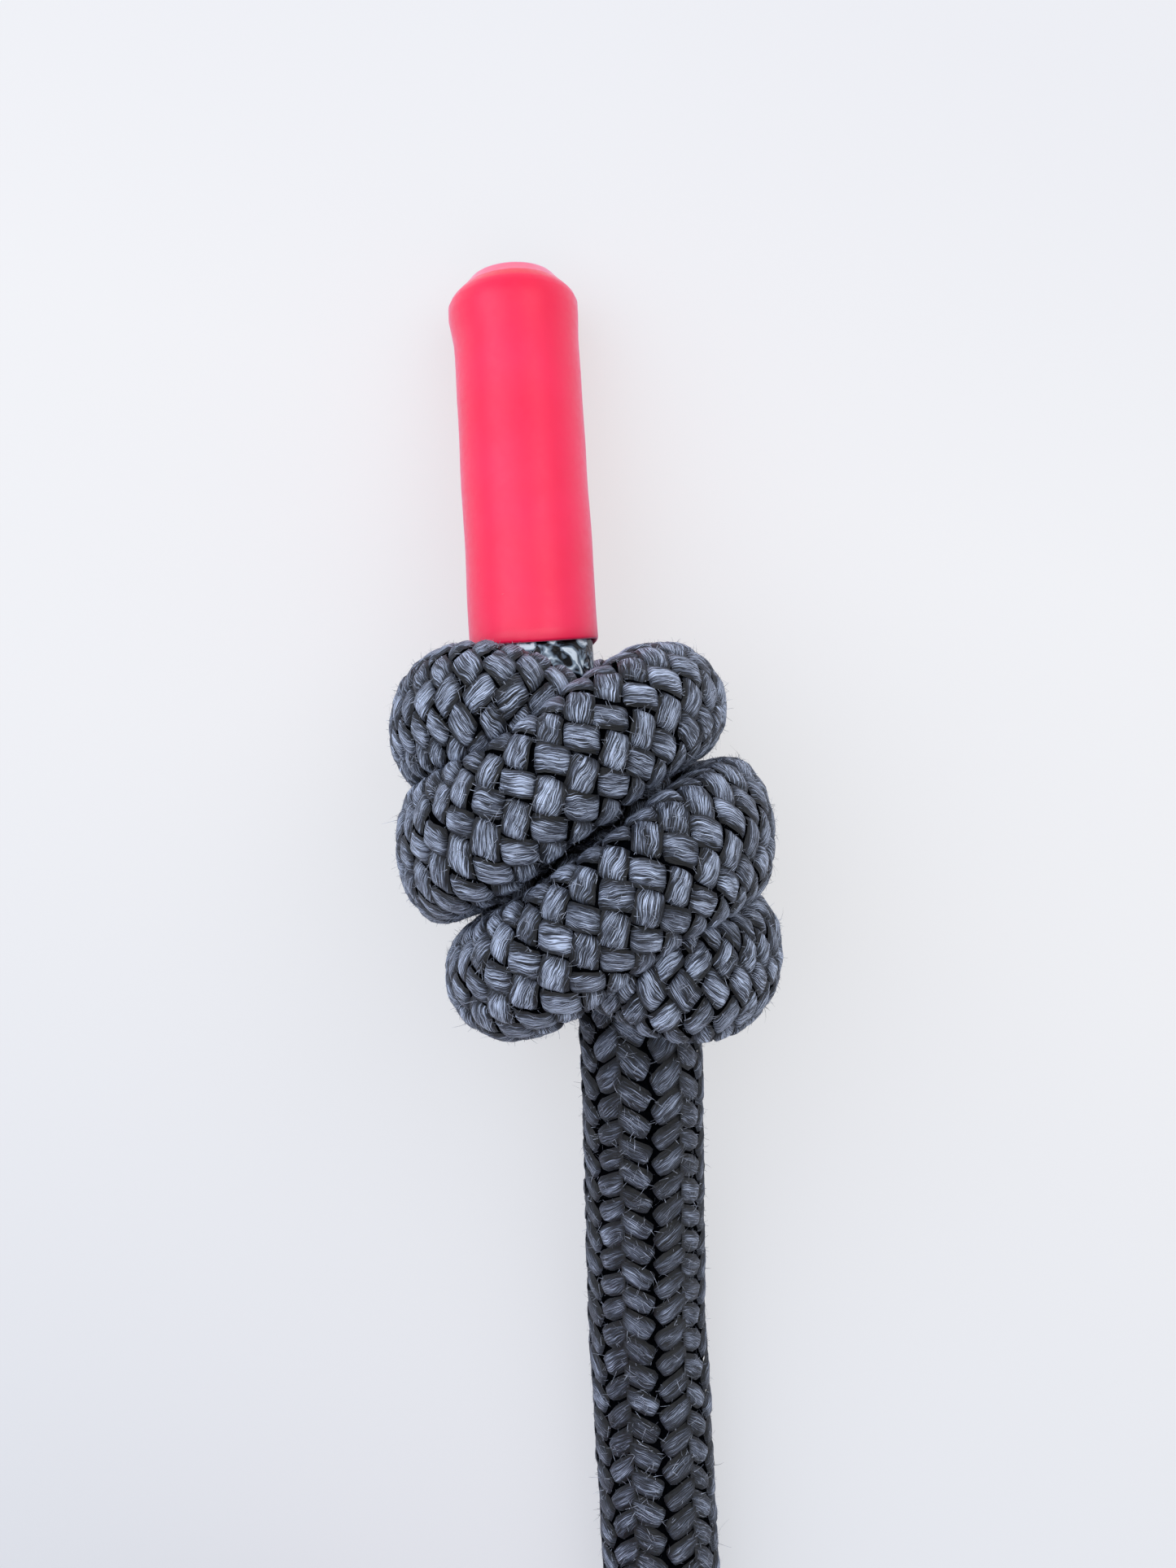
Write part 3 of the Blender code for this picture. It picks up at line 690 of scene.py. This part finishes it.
# a mesh of rings of points joined side by side: a loop of rings, or a closed or open tube
def meshOf(name, rings, loop=False, closed=True):
    count, sides = len(rings), len(rings[0])
    points = np.concatenate(rings)
    first = np.arange(count if loop else count - 1)
    second = (first + 1) % count
    around, further = np.arange(sides), (np.arange(sides) + 1) % sides
    faces = np.stack([
        (first[:, None] * sides + around).ravel(), (first[:, None] * sides + further).ravel(),
        (second[:, None] * sides + further).ravel(), (second[:, None] * sides + around).ravel(),
    ], axis=1).tolist()
    if closed and not loop:
        faces += [list(range(sides))[::-1], [(count - 1) * sides + k for k in range(sides)]]
    mesh = bpy.data.meshes.new(name)
    mesh.from_pydata(points.tolist(), [], faces)
    mesh.update()
    return mesh


def outwardFaces(mesh):
    shape = bmesh.new()
    shape.from_mesh(mesh)
    bmesh.ops.remove_doubles(shape, verts=shape.verts, dist=1e-6)
    bmesh.ops.recalc_face_normals(shape, faces=shape.faces)
    shape.to_mesh(mesh)
    shape.free()
    mesh.shade_smooth()
    return mesh


def addPiece(name, mesh, material):
    made = bpy.data.objects.new(name, mesh)
    made.data.materials.clear()
    made.data.materials.append(material)
    scene.collection.objects.link(made)
    return made


# Geometry Nodes: short loose fibres standing off the braid
fuzz = {
    "perSquareCm": 68.0,
    "length": (0.0006, 0.0020),
    "strayLength": 0.0046,  # a few stand off this far
    "width": 0.00009,
    "tilt": (35.0, 88.0),
    "bend": 0.45,
    "thinning": 0.7,
    "deepest": 0.26,  # no fibres where a strand has sunk by more than this share
    "rarity": 40.0,
    "seed": 11,
}


def fuzzTree():
    nodes, given = newTree("looseFibres", (
        ("Density", "Float"), ("Shortest", "Float"), ("Longest", "Float"), ("Stray", "Float"),
        ("Width", "Float"), ("Least Tilt", "Float"), ("Most Tilt", "Float"), ("Seed", "Int"),
        ("Material", "Material")))
    make, maths, plus, minus, times = nodes.make, nodes.maths, nodes.plus, nodes.minus, nodes.times

    # only where a strand shows: not on the inside painted dark as shade and not where it dives under
    onStrand = maths("GREATER_THAN", nodes.named("strandShade", "FLOAT"), 0.0001)
    showing = times(onStrand, maths("LESS_THAN", nodes.named("sunkShare", "FLOAT"), fuzz["deepest"]))
    spread = make("GeometryNodeDistributePointsOnFaces", {
        "Mesh": given["Geometry"], "Selection": showing, "Density": given["Density"],
        "Seed": given["Seed"]}, distribute_method="RANDOM").outputs
    strip = make("GeometryNodeMeshGrid", {
        "Size X": 1.0, "Size Y": 1.0, "Vertices X": 4, "Vertices Y": 2})
    split = nodes.split(make("GeometryNodeInputPosition").outputs[0])
    along = plus(split[0], 0.5)
    narrow = minus(1, times(fuzz["thinning"], along))
    place = nodes.combined(times(times(along, along), fuzz["bend"]), times(split[1], narrow), along)
    hair = nodes.shaped("GeometryNodeSetPosition", strip.outputs["Mesh"], Position=place)

    def chance(low, high, shift):
        return nodes.chance(low, high, plus(given["Seed"], shift))

    rare = maths("POWER", chance(0.0, 1.0, 4), fuzz["rarity"])
    size = plus(chance(given["Shortest"], given["Longest"], 1), times(rare, given["Stray"]))
    whole = make("GeometryNodeInstanceOnPoints", {
        "Points": spread["Points"], "Instance": hair, "Rotation": spread["Rotation"],
        "Scale": nodes.combined(size, given["Width"], size)}).outputs[0]
    spin = nodes.combined(0.0, 0.0, chance(0.0, 6.283, 2))
    tilt = nodes.combined(0.0, chance(given["Least Tilt"], given["Most Tilt"], 3), 0.0)
    for turn in (spin, tilt):
        whole = make("GeometryNodeRotateInstances", {"Instances": whole, "Rotation": turn}).outputs[0]
    whole = nodes.shaped("GeometryNodeRealizeInstances", whole)
    return nodes.result(nodes.shaped("GeometryNodeSetMaterial", whole, Material=given["Material"]))


# materials
def newMaterial(name):
    made = bpy.data.materials.new(name)
    made.use_nodes = True
    return made, NodeBench(made.node_tree)


def finished(material, nodes, values):
    shader = material.node_tree.nodes["Principled BSDF"]
    for label, value in values.items():
        nodes.fill(shader.inputs[label], value)
    return material


# the look of a strand; places on it are shares of its length and width
strand = {
    "fine": (54.0, 2.4, 2.0),  # fibres across a strand, along it, and the noise's detail
    "coarse": (24.0, 1.9, 1.0),
    "wave": (2.2, 1.6),
    "streakShares": (0.60, 0.30, 0.10),  # of fine, coarse and wave
    "slope": (0.55, 0.12),
    "pinch": 0.35,
    "waveLean": 0.20,
    "looseCalm": 0.32,
    # darker strand edges and strand ends: painted shade where a strand curves down under its neighbours
    "edgePaintedShade": (5.0, 0.27),
    "endPaintedShade": (6.0, 0.20),
    "shadeSpread": 0.03,
    # painted shade where a strand sinks and over the whole free rope, and a painted highlight on the chevron
    # peaks
    "shares": (("sunkShare", -0.30), ("looseShare", -0.134), ("peakShare", 0.200)),
    "colours": (
        (0.400, (0.0006, 0.0009, 0.0017)), (0.448, (0.0088, 0.0112, 0.0190)),
        (0.500, (0.086, 0.103, 0.152)), (0.577, (0.620, 0.710, 0.915))),
    "bump": (0.9, 0.0005),
}


def strandMaterial():
    made, nodes = newMaterial("braidedPolyester")
    maths, plus, minus, times = nodes.maths, nodes.plus, nodes.minus, nodes.times
    along, across = nodes.split(nodes.attribute("fibreUV", "Vector"))[:2]
    shade = nodes.attribute("strandShade")
    slope = minus(times(maths("FRACT", times(shade, 7.0)), strand["slope"][0]), strand["slope"][1])
    depth = times(shade, 60.0)
    waveSpot = nodes.combined(times(along, strand["wave"][0]), times(across, strand["wave"][1]), depth)
    wave = nodes.cloud(waveSpot, 1.0, 1.0)[0]
    end = maths("ABSOLUTE", minus(times(along, 2.0), 1.0))
    pinch = plus(1.0, times(end, end, strand["pinch"]))
    lean = plus(times(minus(across, 0.5), pinch), times(along, slope),
                times(minus(wave, 0.5), strand["waveLean"]))

    def fibres(acrossCount, alongCount, detail):
        spot = nodes.combined(times(along, alongCount), times(lean, acrossCount), depth)
        return nodes.cloud(spot, 1.0, detail, Roughness=0.6)[0]

    fine, coarse = (times(fibres(*strand[key]), share)
                    for key, share in zip(("fine", "coarse"), strand["streakShares"]))
    mix = plus(fine, coarse, times(wave, strand["streakShares"][2]))
    calm = minus(1.0, times(nodes.attribute("looseShare"), strand["looseCalm"]))
    mix = plus(0.5, times(minus(mix, 0.5), calm))
    # the fibre streaks are the strand's own tone; the darker edges and ends below are painted shade
    edge = maths("ABSOLUTE", minus(times(across, 2.0), 1.0))
    fibreToneAndPaintedLight = minus(mix, times(maths("POWER", edge, strand["edgePaintedShade"][0]), strand["edgePaintedShade"][1]))
    paintedEndShade = times(maths("POWER", end, strand["endPaintedShade"][0]), minus(1.0, nodes.attribute("peakShare")))
    fibreToneAndPaintedLight = minus(fibreToneAndPaintedLight, times(paintedEndShade, strand["endPaintedShade"][1]))
    fibreToneAndPaintedLight = plus(fibreToneAndPaintedLight, times(minus(shade, 0.5), strand["shadeSpread"]))
    # painted shade by how deep a strand sinks and on the free rope, painted highlight at the chevron peaks
    for label, weight in strand["shares"]:
        fibreToneAndPaintedLight = plus(fibreToneAndPaintedLight, times(nodes.attribute(label), weight))
    return finished(made, nodes, {
        "Base Color": nodes.ramp(fibreToneAndPaintedLight, strand["colours"]),
        "Roughness": nodes.mapped(mix, 0.3, 0.7, 0.62, 0.42),
        "Normal": nodes.bump(mix, *strand["bump"]),
        "Sheen Weight": 0.12, "Sheen Roughness": 0.35, "Sheen Tint": (0.62, 0.70, 0.95, 1.0)})


def fuzzMaterial():
    made, nodes = newMaterial("looseFibre")
    cloud = nodes.cloud(nodes.place(), 900.0, 1.0)[0]
    colour = nodes.ramp(cloud, ((0.35, (0.030, 0.034, 0.046)), (0.66, (0.430, 0.470, 0.580))))
    return finished(made, nodes, {"Base Color": colour, "Roughness": 0.5})


# the rope's inside between the strands, painted near black as shade
def gapShadeMaterial():
    made, nodes = newMaterial("ropeInsidePaintedShade")
    cloud = nodes.cloud(nodes.place(), 1800.0, 2.0)[0]
    colour = nodes.ramp(cloud, ((0.3, (0.0004, 0.0005, 0.0008)), (0.7, (0.0016, 0.0018, 0.0026))))
    return finished(made, nodes, {"Base Color": colour, "Roughness": 0.9, "Specular IOR Level": 0.0})


# the cap's colour changes by the millimetre from its open end: a deep red line of painted shade where the
# rope's end lies behind the wall, and a paler lip of painted light shining through the thin free edge
capLook = {
    "body": ((0.30, (0.90, 0.006, 0.062)), (0.70, (0.98, 0.014, 0.092))),
    "line": ((3.3, 2.4), (0.90, 0.0, 0.018)),
    "thinLipPaintedLight": ((1.65, 1.3), (0.94, 0.130, 0.225)),
}


def capMaterial():
    made, nodes = newMaterial("heatShrink")
    spot = nodes.place()
    colour = nodes.ramp(nodes.cloud(spot, 60.0, 3.0)[0], capLook["body"])
    edge = nodes.attribute("fromEdge")
    # painted shade in the deep red line, then painted light in the pale lip
    for key in ("line", "thinLipPaintedLight"):
        reach, tint = capLook[key]
        share = nodes.mapped(edge, *reach, way="SMOOTHSTEP")
        values = {0: share, 6: colour, 7: (*tint, 1.0)}
        colour = nodes.make("ShaderNodeMix", values, data_type="RGBA").outputs[2]
    grain, waves = nodes.cloud(spot, 900.0, 2.0)[0], nodes.cloud(spot, 160.0, 2.0)[0]
    height = nodes.plus(nodes.times(grain, 0.18), waves)
    return finished(made, nodes, {
        "Base Color": colour, "Roughness": nodes.mapped(grain, 0.3, 0.7, 0.33, 0.45),
        "Normal": nodes.bump(height, 0.25, 0.0004),
        "Subsurface Weight": 0.12, "Subsurface Radius": (1.0, 0.25, 0.35), "Subsurface Scale": 0.0015,
        "Sheen Weight": 0.48, "Sheen Roughness": 0.35, "Sheen Tint": (1.0, 0.66, 0.92, 1.0)})


# clear film over the dark strands; its pale blue-white patches are painted reflections on the creases
def tapeMaterial():
    made, nodes = newMaterial("clearTape")
    waves = nodes.cloud(nodes.place(), 340.0, 2.0, Distortion=1.1)[0]
    colour = nodes.ramp(waves, (
        (0.465, (0.0004, 0.0006, 0.0012)), (0.490, (0.030, 0.042, 0.062)), (0.530, (0.150, 0.200, 0.260)),
        (0.575, (0.300, 0.380, 0.470)), (0.62, (0.820, 0.910, 1.0))))
    return finished(made, nodes, {
        "Base Color": colour, "Normal": nodes.bump(waves, 1.0, 0.0009), "Roughness": 0.20, "Alpha": 0.90,
        "Specular IOR Level": 0.16, "Coat Weight": 0.10, "Coat Roughness": 0.06})


def tipMaterial():
    made, nodes = newMaterial("fusedFibre")
    lumps = nodes.cloud(nodes.place(), 700.0, 3.0)[0]
    colour = nodes.ramp(lumps, ((0.3, (0.008, 0.008, 0.010)), (0.7, (0.040, 0.038, 0.042))))
    return finished(made, nodes, {
        "Base Color": colour, "Normal": nodes.bump(lumps, 0.7, 0.0006), "Roughness": 0.3})


strandFinish, gapShadeFinish, capFinish = strandMaterial(), gapShadeMaterial(), capMaterial()
tapeFinish, tipFinish, fuzzFinish = tapeMaterial(), tipMaterial(), fuzzMaterial()
print("materials made")

# the rope in pieces, each with its rings, strands and the inside painted dark as shade
strandsTree = braidTree()


def ropePiece(name, start, finish, knot, fine):
    step, pitch = braid["rings"][fine], braid["pitch"]
    pointsAlong, pointsAcross = braid["strandPoints"][fine]
    start, finish = np.interp((start, finish), wholeAlong, braidAlong)
    firstRow = math.ceil(start / pitch)
    rows = math.ceil(finish / pitch) - firstRow
    margin = math.ceil(2 * pitch / step)
    low, high = max(0.0, start - margin * step), min(braidAlong[-1], finish + margin * step)
    count = round((high - low) / step) + 1
    places = np.interp(low + step * np.arange(count), braidAlong, wholeAlong)
    places = np.minimum(places, wholeLength - 1e-6)
    rings, centres = surfaceRings(places, knot)
    base = meshOf(name, rings, closed=False)
    middles = base.attributes.new("ringMiddle", "FLOAT_VECTOR", "POINT")
    middles.data.foreach_set("vector", np.repeat(centres, braid["sides"], axis=0).ravel())
    pressed = base.attributes.new("pressed", "FLOAT", "POINT")
    pressed.data.foreach_set("value", np.repeat(pressedAt(places), braid["sides"]))
    made = builtByNodes(name, base, strandsTree, {
        "Sides": braid["sides"], "Rings": count, "Ring Step": float(step), "First Row": firstRow,
        "Rows": rows, "Start Place": float(low), "Pitch": pitch, "Points Along": pointsAlong,
        "Points Across": pointsAcross, "Margin": round((start - low) / step) if low > 0 else 0,
        "Seed": braid["seed"], "Strand Material": strandFinish, "Gap Painted Shade Material": gapShadeFinish,
        **{key + kind: braid[key][k] for key in shapeKeys for k, kind in enumerate(("Free", "Pressed"))}})
    for spare in ("ringMiddle", "strandNumber", "pressed"):
        if spare in made.data.attributes:
            made.data.attributes.remove(made.data.attributes[spare])
    print(name, rows * braid["columns"], "strands")
    return made


underCap = 0.006  # the braid goes on this far inside the cap
freeLength = wholeLength - 2 * knotLength
secondLength = (freeLength - rope["runLength"]) / 2
breaks = [knotLength, knotLength + rope["runLength"], knotLength + rope["runLength"] + secondLength,
          wholeLength - knotLength]
knotA = ropePiece("ropeKnotA", capAt - underCap, breaks[0], "a", True)
knotB = ropePiece("ropeKnotB", breaks[3], wholeLength - capAt + underCap, "b", False)
ropeRun = ropePiece("ropeRun", breaks[0], breaks[1], "a", True)
ropeCoilFirst = ropePiece("ropeCoilFirst", breaks[1], breaks[2], "a", False)
ropeCoilSecond = ropePiece("ropeCoilSecond", breaks[2], breaks[3], "b", False)
print("rope braided")

looseFibres = fuzzTree()


def fuzzPiece(name, piece):
    shortest, longest = fuzz["length"]
    leastTilt, mostTilt = (math.radians(angle) for angle in fuzz["tilt"])
    return builtByNodes(name, piece.data.copy(), looseFibres, {
        "Density": fuzz["perSquareCm"] * 10000.0, "Shortest": shortest, "Longest": longest,
        "Stray": fuzz["strayLength"] - longest, "Width": fuzz["width"], "Least Tilt": leastTilt,
        "Most Tilt": mostTilt, "Seed": fuzz["seed"], "Material": fuzzFinish})


fuzzKnotA = fuzzPiece("fuzzKnotA", knotA)
fuzzKnotB = fuzzPiece("fuzzKnotB", knotB)
fuzzRun = fuzzPiece("fuzzRun", ropeRun)
print("loose fibres added")

# the cap's small forms: its barrel, the rounded shoulder and the lip
capForm = {
    "mouth": 0.0003,  # rounding of the end that the rope goes into
    "barrelMore": 0.0014,
    "swell": 0.0002,  # of the barrel before its shoulder, and where it begins and ends
    "swellFrom": 0.008,
    "swellTo": 0.002,
    "shoulder": mm * np.array((
        (0.0, -0.1), (-0.15, 0.4), (-0.5, 0.95), (-0.95, 1.5), (-1.45, 2.05), (-1.95, 2.6),
        (-2.4, 3.15), (-2.8, 3.65), (-3.15, 4.1), (-3.45, 4.4), (-3.85, 4.3))),
    "innerShift": (-0.0007, -0.00045),
    "wobble": 0.00016,
    "wobbleSize": 90.0,
    "skew": 0.0033,  # the mouth is cut a little aslant
    "skewReach": 0.012,
    "flare": 0.0005,  # one side stands out at the shoulder
    "flareReach": 0.0035,
    "sides": 96,
}


def capFrame():
    start = endLine[nearCap]
    way = Vector(endLine[-1] - start).normalized()
    turn = Vector((0, 0, 1)).rotation_difference(way).to_matrix().to_4x4()
    return Matrix.Translation(start) @ turn


# rings of a turned form, made uneven by a wobble, and by a cap's own skew and flare
def lathed(profile, sides, place, wobble, seed, skew=0.0, flare=0.0, flareAt=0.0):
    rings = []
    for r, z in profile:
        ring = []
        for angle in 2 * math.pi * np.arange(sides) / sides:
            away = Vector((math.cos(angle), math.sin(angle), 0))
            facing = place.to_3x3() @ away
            spot = Vector((r * math.cos(angle), r * math.sin(angle), z))
            flared = flare * max(0.0, -facing.x) * math.exp(-((z - flareAt) / capForm["flareReach"]) ** 2)
            spot += away * flared
            spot.z -= skew * max(0.0, facing.z) * float(eased(capForm["skewReach"], 0.0, z))
            spot += away * (noise.noise(spot * capForm["wobbleSize"] + Vector((seed, 0, 0))) * wobble)
            ring.append(tuple(place @ spot))
        rings.append(np.array(ring))
    return rings


def arc(centre, radius, fromDegrees, toDegrees, count):
    return [(centre[0] + radius * math.cos(math.radians(a)), centre[1] + radius * math.sin(math.radians(a)))
            for a in np.linspace(fromDegrees, toDegrees, count)]


def capProfile():
    outside = cap["diameter"] / 2
    inside, mouth = outside - cap["wall"], capForm["mouth"]
    barrel = cap["length"] - cap["shoulder"] - cap["lip"] + capForm["barrelMore"]
    outer = [(inside, mouth + 0.0001), (inside + mouth, 0.0), (outside - mouth, 0.0), (outside, mouth)]
    swellFrom, swellTo = barrel - capForm["swellFrom"], barrel - capForm["swellTo"]
    outer += [(outside + capForm["swell"] * eased(swellFrom, swellTo, z), z)
              for z in np.linspace(0.002, barrel - 0.0006, 28)]
    shoulder = capForm["shoulder"] + (outside, barrel)
    inner = list(shoulder[7::-1] + capForm["innerShift"])
    inner += [(inside, z) for z in np.linspace(swellTo, 0.002, 12)]
    return outer + list(shoulder) + inner


def capPiece(letter, inPlace):
    flareAt = cap["length"] - cap["lip"] - cap["shoulder"] - 0.0005
    rings = lathed(capProfile(), capForm["sides"], inPlace, capForm["wobble"], 3.0,
                   capForm["skew"], capForm["flare"], flareAt)
    made = addPiece("cap" + letter, outwardFaces(meshOf("cap" + letter, rings, loop=True)), capFinish)
    back = inPlace.inverted()
    fromEdge = [(cap["length"] - (back @ point.co).z) / mm for point in made.data.vertices]
    made.data.attributes.new("fromEdge", "FLOAT", "POINT").data.foreach_set("value", fromEdge)
    return made


def tipPiece(letter, inPlace):
    radius = cap["diameter"] / 2 - cap["wall"] - tip["gap"]
    top = cap["length"] - cap["lip"] - cap["shoulder"] + tip["gap"]
    low = top - tip["length"]
    profile = [(0.0002, low), (radius * 0.5, low), (radius - 0.0004, low), (radius, low + 0.0004)]
    profile += arc((radius - tip["round"], top - tip["round"]), tip["round"], 0, 90, 6)
    profile += [(radius * share, top + 0.0003 * (1 - share)) for share in tip["domeShares"]]
    rings = lathed(profile, tip["sides"], inPlace, tip["wobble"], 9.0)
    return addPiece("tip" + letter, outwardFaces(meshOf("tip" + letter, rings)), tipFinish)


def tapePiece(letter):
    places = np.linspace(capAt + tape["edge"], capAt + tape["length"], tape["rings"])
    if letter == "B":
        places = wholeLength - places
    outer, inner = [], []
    for ring, centre in zip(*surfaceRings(places, letter.lower())):
        away = ring - centre
        away /= np.linalg.norm(away, axis=1)[:, None]
        crease = np.array([noise.noise(Vector(point) * tape["creaseSize"]) for point in ring])[:, None]
        crease *= tape["crease"]
        inner.append(ring + away * (tape["heights"][0] + crease))
        outer.append(ring + away * (tape["heights"][1] + crease))
    mesh = outwardFaces(meshOf("tape" + letter, outer + inner[::-1], loop=True))
    return addPiece("tape" + letter, mesh, tapeFinish)


def endPieces(letter, place):
    inPlace = place @ capFrame()
    pieces = capPiece(letter, inPlace), tipPiece(letter, inPlace), tapePiece(letter)
    for piece in pieces:
        keptAboveFloor(piece.data)
    return pieces


capA, tipA, tapeA = endPieces("A", Matrix.Identity(4))
capB, tipB, tapeB = endPieces("B", placeB)
print("caps, tips and tape made")

# which CAD nodes the pieces stand for
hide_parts("knot_sheath_a", "knot_core_a")
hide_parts("knot_sheath_b", "knot_core_b")
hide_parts("run_sheath", "run_core")
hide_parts("coil_sheath", "coil_core")
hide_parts("coil_sheath", "coil_core")
for letter, pieces in (("a", (capA, tipA, tapeA)), ("b", (capB, tipB, tapeB))):
    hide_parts("heat_shrink_cap_" + letter)
    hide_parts("fused_tip_" + letter)
    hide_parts("tape_wrap_" + letter)
for piece in (knotA, knotB, ropeRun, ropeCoilFirst, ropeCoilSecond, fuzzKnotA, fuzzKnotB, fuzzRun):
    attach(piece, "root")
for pieces in ((capA, tipA, tapeA), (capB, tipB, tapeB)):
    for piece, slot in zip(pieces, ("heat_shrink", "fused_fibre", "clear_tape")):
        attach(piece, "root")


def routeBetween(start, finish):
    inside = (wholeAlong > start) & (wholeAlong < finish)
    picked = wholeLine[inside][::rope["routeEvery"]]
    ends = readAt(wholeAlong, wholeLine, np.array([start, finish]))
    return [tuple(point) for point in np.vstack([ends[:1], picked[1:], ends[1:]])]


def declareCord(start, finish):
    route = routeBetween(start, finish)


declareCord(breaks[0], breaks[1])
declareCord(breaks[1], breaks[2])
declareCord(breaks[2], breaks[3])

# floor, lamps and world
stage = {
    "half": 6,
    "under": 0.0002,  # the floor lies this far under the rope
    "glowShare": 0.66,  # of the floor's own paleness, to the camera only
    # the floor's glow carries painted shade: darker and bluer towards the bottom left, lightest around the
    # middle, darker again far ahead
    "paintedShadeWay": (0.9, 3.2),  # how fast it changes sideways and away from the camera's foot
    "glowAndPaintedShade": (
        (0.0, (0.715, 0.735, 0.785)), (0.50, (0.858, 0.858, 0.868)), (0.72, (0.872, 0.870, 0.876)),
        (1.0, (0.815, 0.815, 0.840))),
    "worldColour": (0.93, 0.96, 1.0, 1.0),
    "worldStrength": 0.67,
}


def floorMaterial():
    made, nodes = newMaterial("paleFloor")
    finished(made, nodes, {
        "Base Color": (0.80, 0.80, 0.83, 1.0), "Roughness": 0.85, "Specular IOR Level": 0.1})
    spot = nodes.split(nodes.place())
    # painted shade: the glow darkens towards the bottom left
    sideRate, awayRate = stage["paintedShadeWay"]
    towards = nodes.plus(nodes.times(spot[1], awayRate), nodes.times(spot[0], sideRate))
    palenessAndPaintedShade = nodes.ramp(nodes.plus(towards, 0.5), stage["glowAndPaintedShade"])
    glowAndPaintedShade = nodes.make("ShaderNodeEmission", {"Color": palenessAndPaintedShade, "Strength": 1.0})
    toCamera = nodes.make("ShaderNodeLightPath").outputs["Is Camera Ray"]
    blend = nodes.make("ShaderNodeMixShader", {
        0: nodes.times(toCamera, stage["glowShare"]),
        1: nodes.tree.nodes["Principled BSDF"].outputs[0], 2: glowAndPaintedShade.outputs[0]})
    nodes.fill(nodes.tree.nodes["Material Output"].inputs["Surface"], blend.outputs[0])
    return made


corners = [(x * stage["half"], y * stage["half"], 0) for x, y in ((-1, -1), (1, -1), (1, 1), (-1, 1))]
floorMesh = bpy.data.meshes.new("floor")
floorMesh.from_pydata(corners, [], [(0, 1, 2, 3)])
floor = addPiece("floor", floorMesh, floorMaterial())
floor.location.z = -stage["under"]

world = bpy.data.worlds.new("studio")
scene.world = world
world.use_nodes = True
world.node_tree.nodes["Background"].inputs[0].default_value = stage["worldColour"]
world.node_tree.nodes["Background"].inputs[1].default_value = stage["worldStrength"]

lamps = {
    "mainLamp": {"place": (0.45, 0.35, 0.95), "size": (0.7, 0.9), "power": 3.4, "gloss": 0.5,
                 "colour": (1, 1, 1)},
    "sideLamp": {"place": (-0.6, 0.25, 0.9), "size": (1.1, 1.3), "power": 7.9, "gloss": 1.3,
                 "colour": (0.79, 0.86, 1.0)},
}
for name, values in lamps.items():
    light = bpy.data.lights.new(name, "AREA")
    light.shape = "RECTANGLE"
    light.size, light.size_y = values["size"]
    light.energy, light.color, light.specular_factor = values["power"], values["colour"], values["gloss"]
    lamp = bpy.data.objects.new(name, light)
    lamp.location = values["place"]
    lamp.rotation_euler = (-Vector(values["place"])).to_track_quat("-Z", "Y").to_euler()
    scene.collection.objects.link(lamp)
print("stage lit")
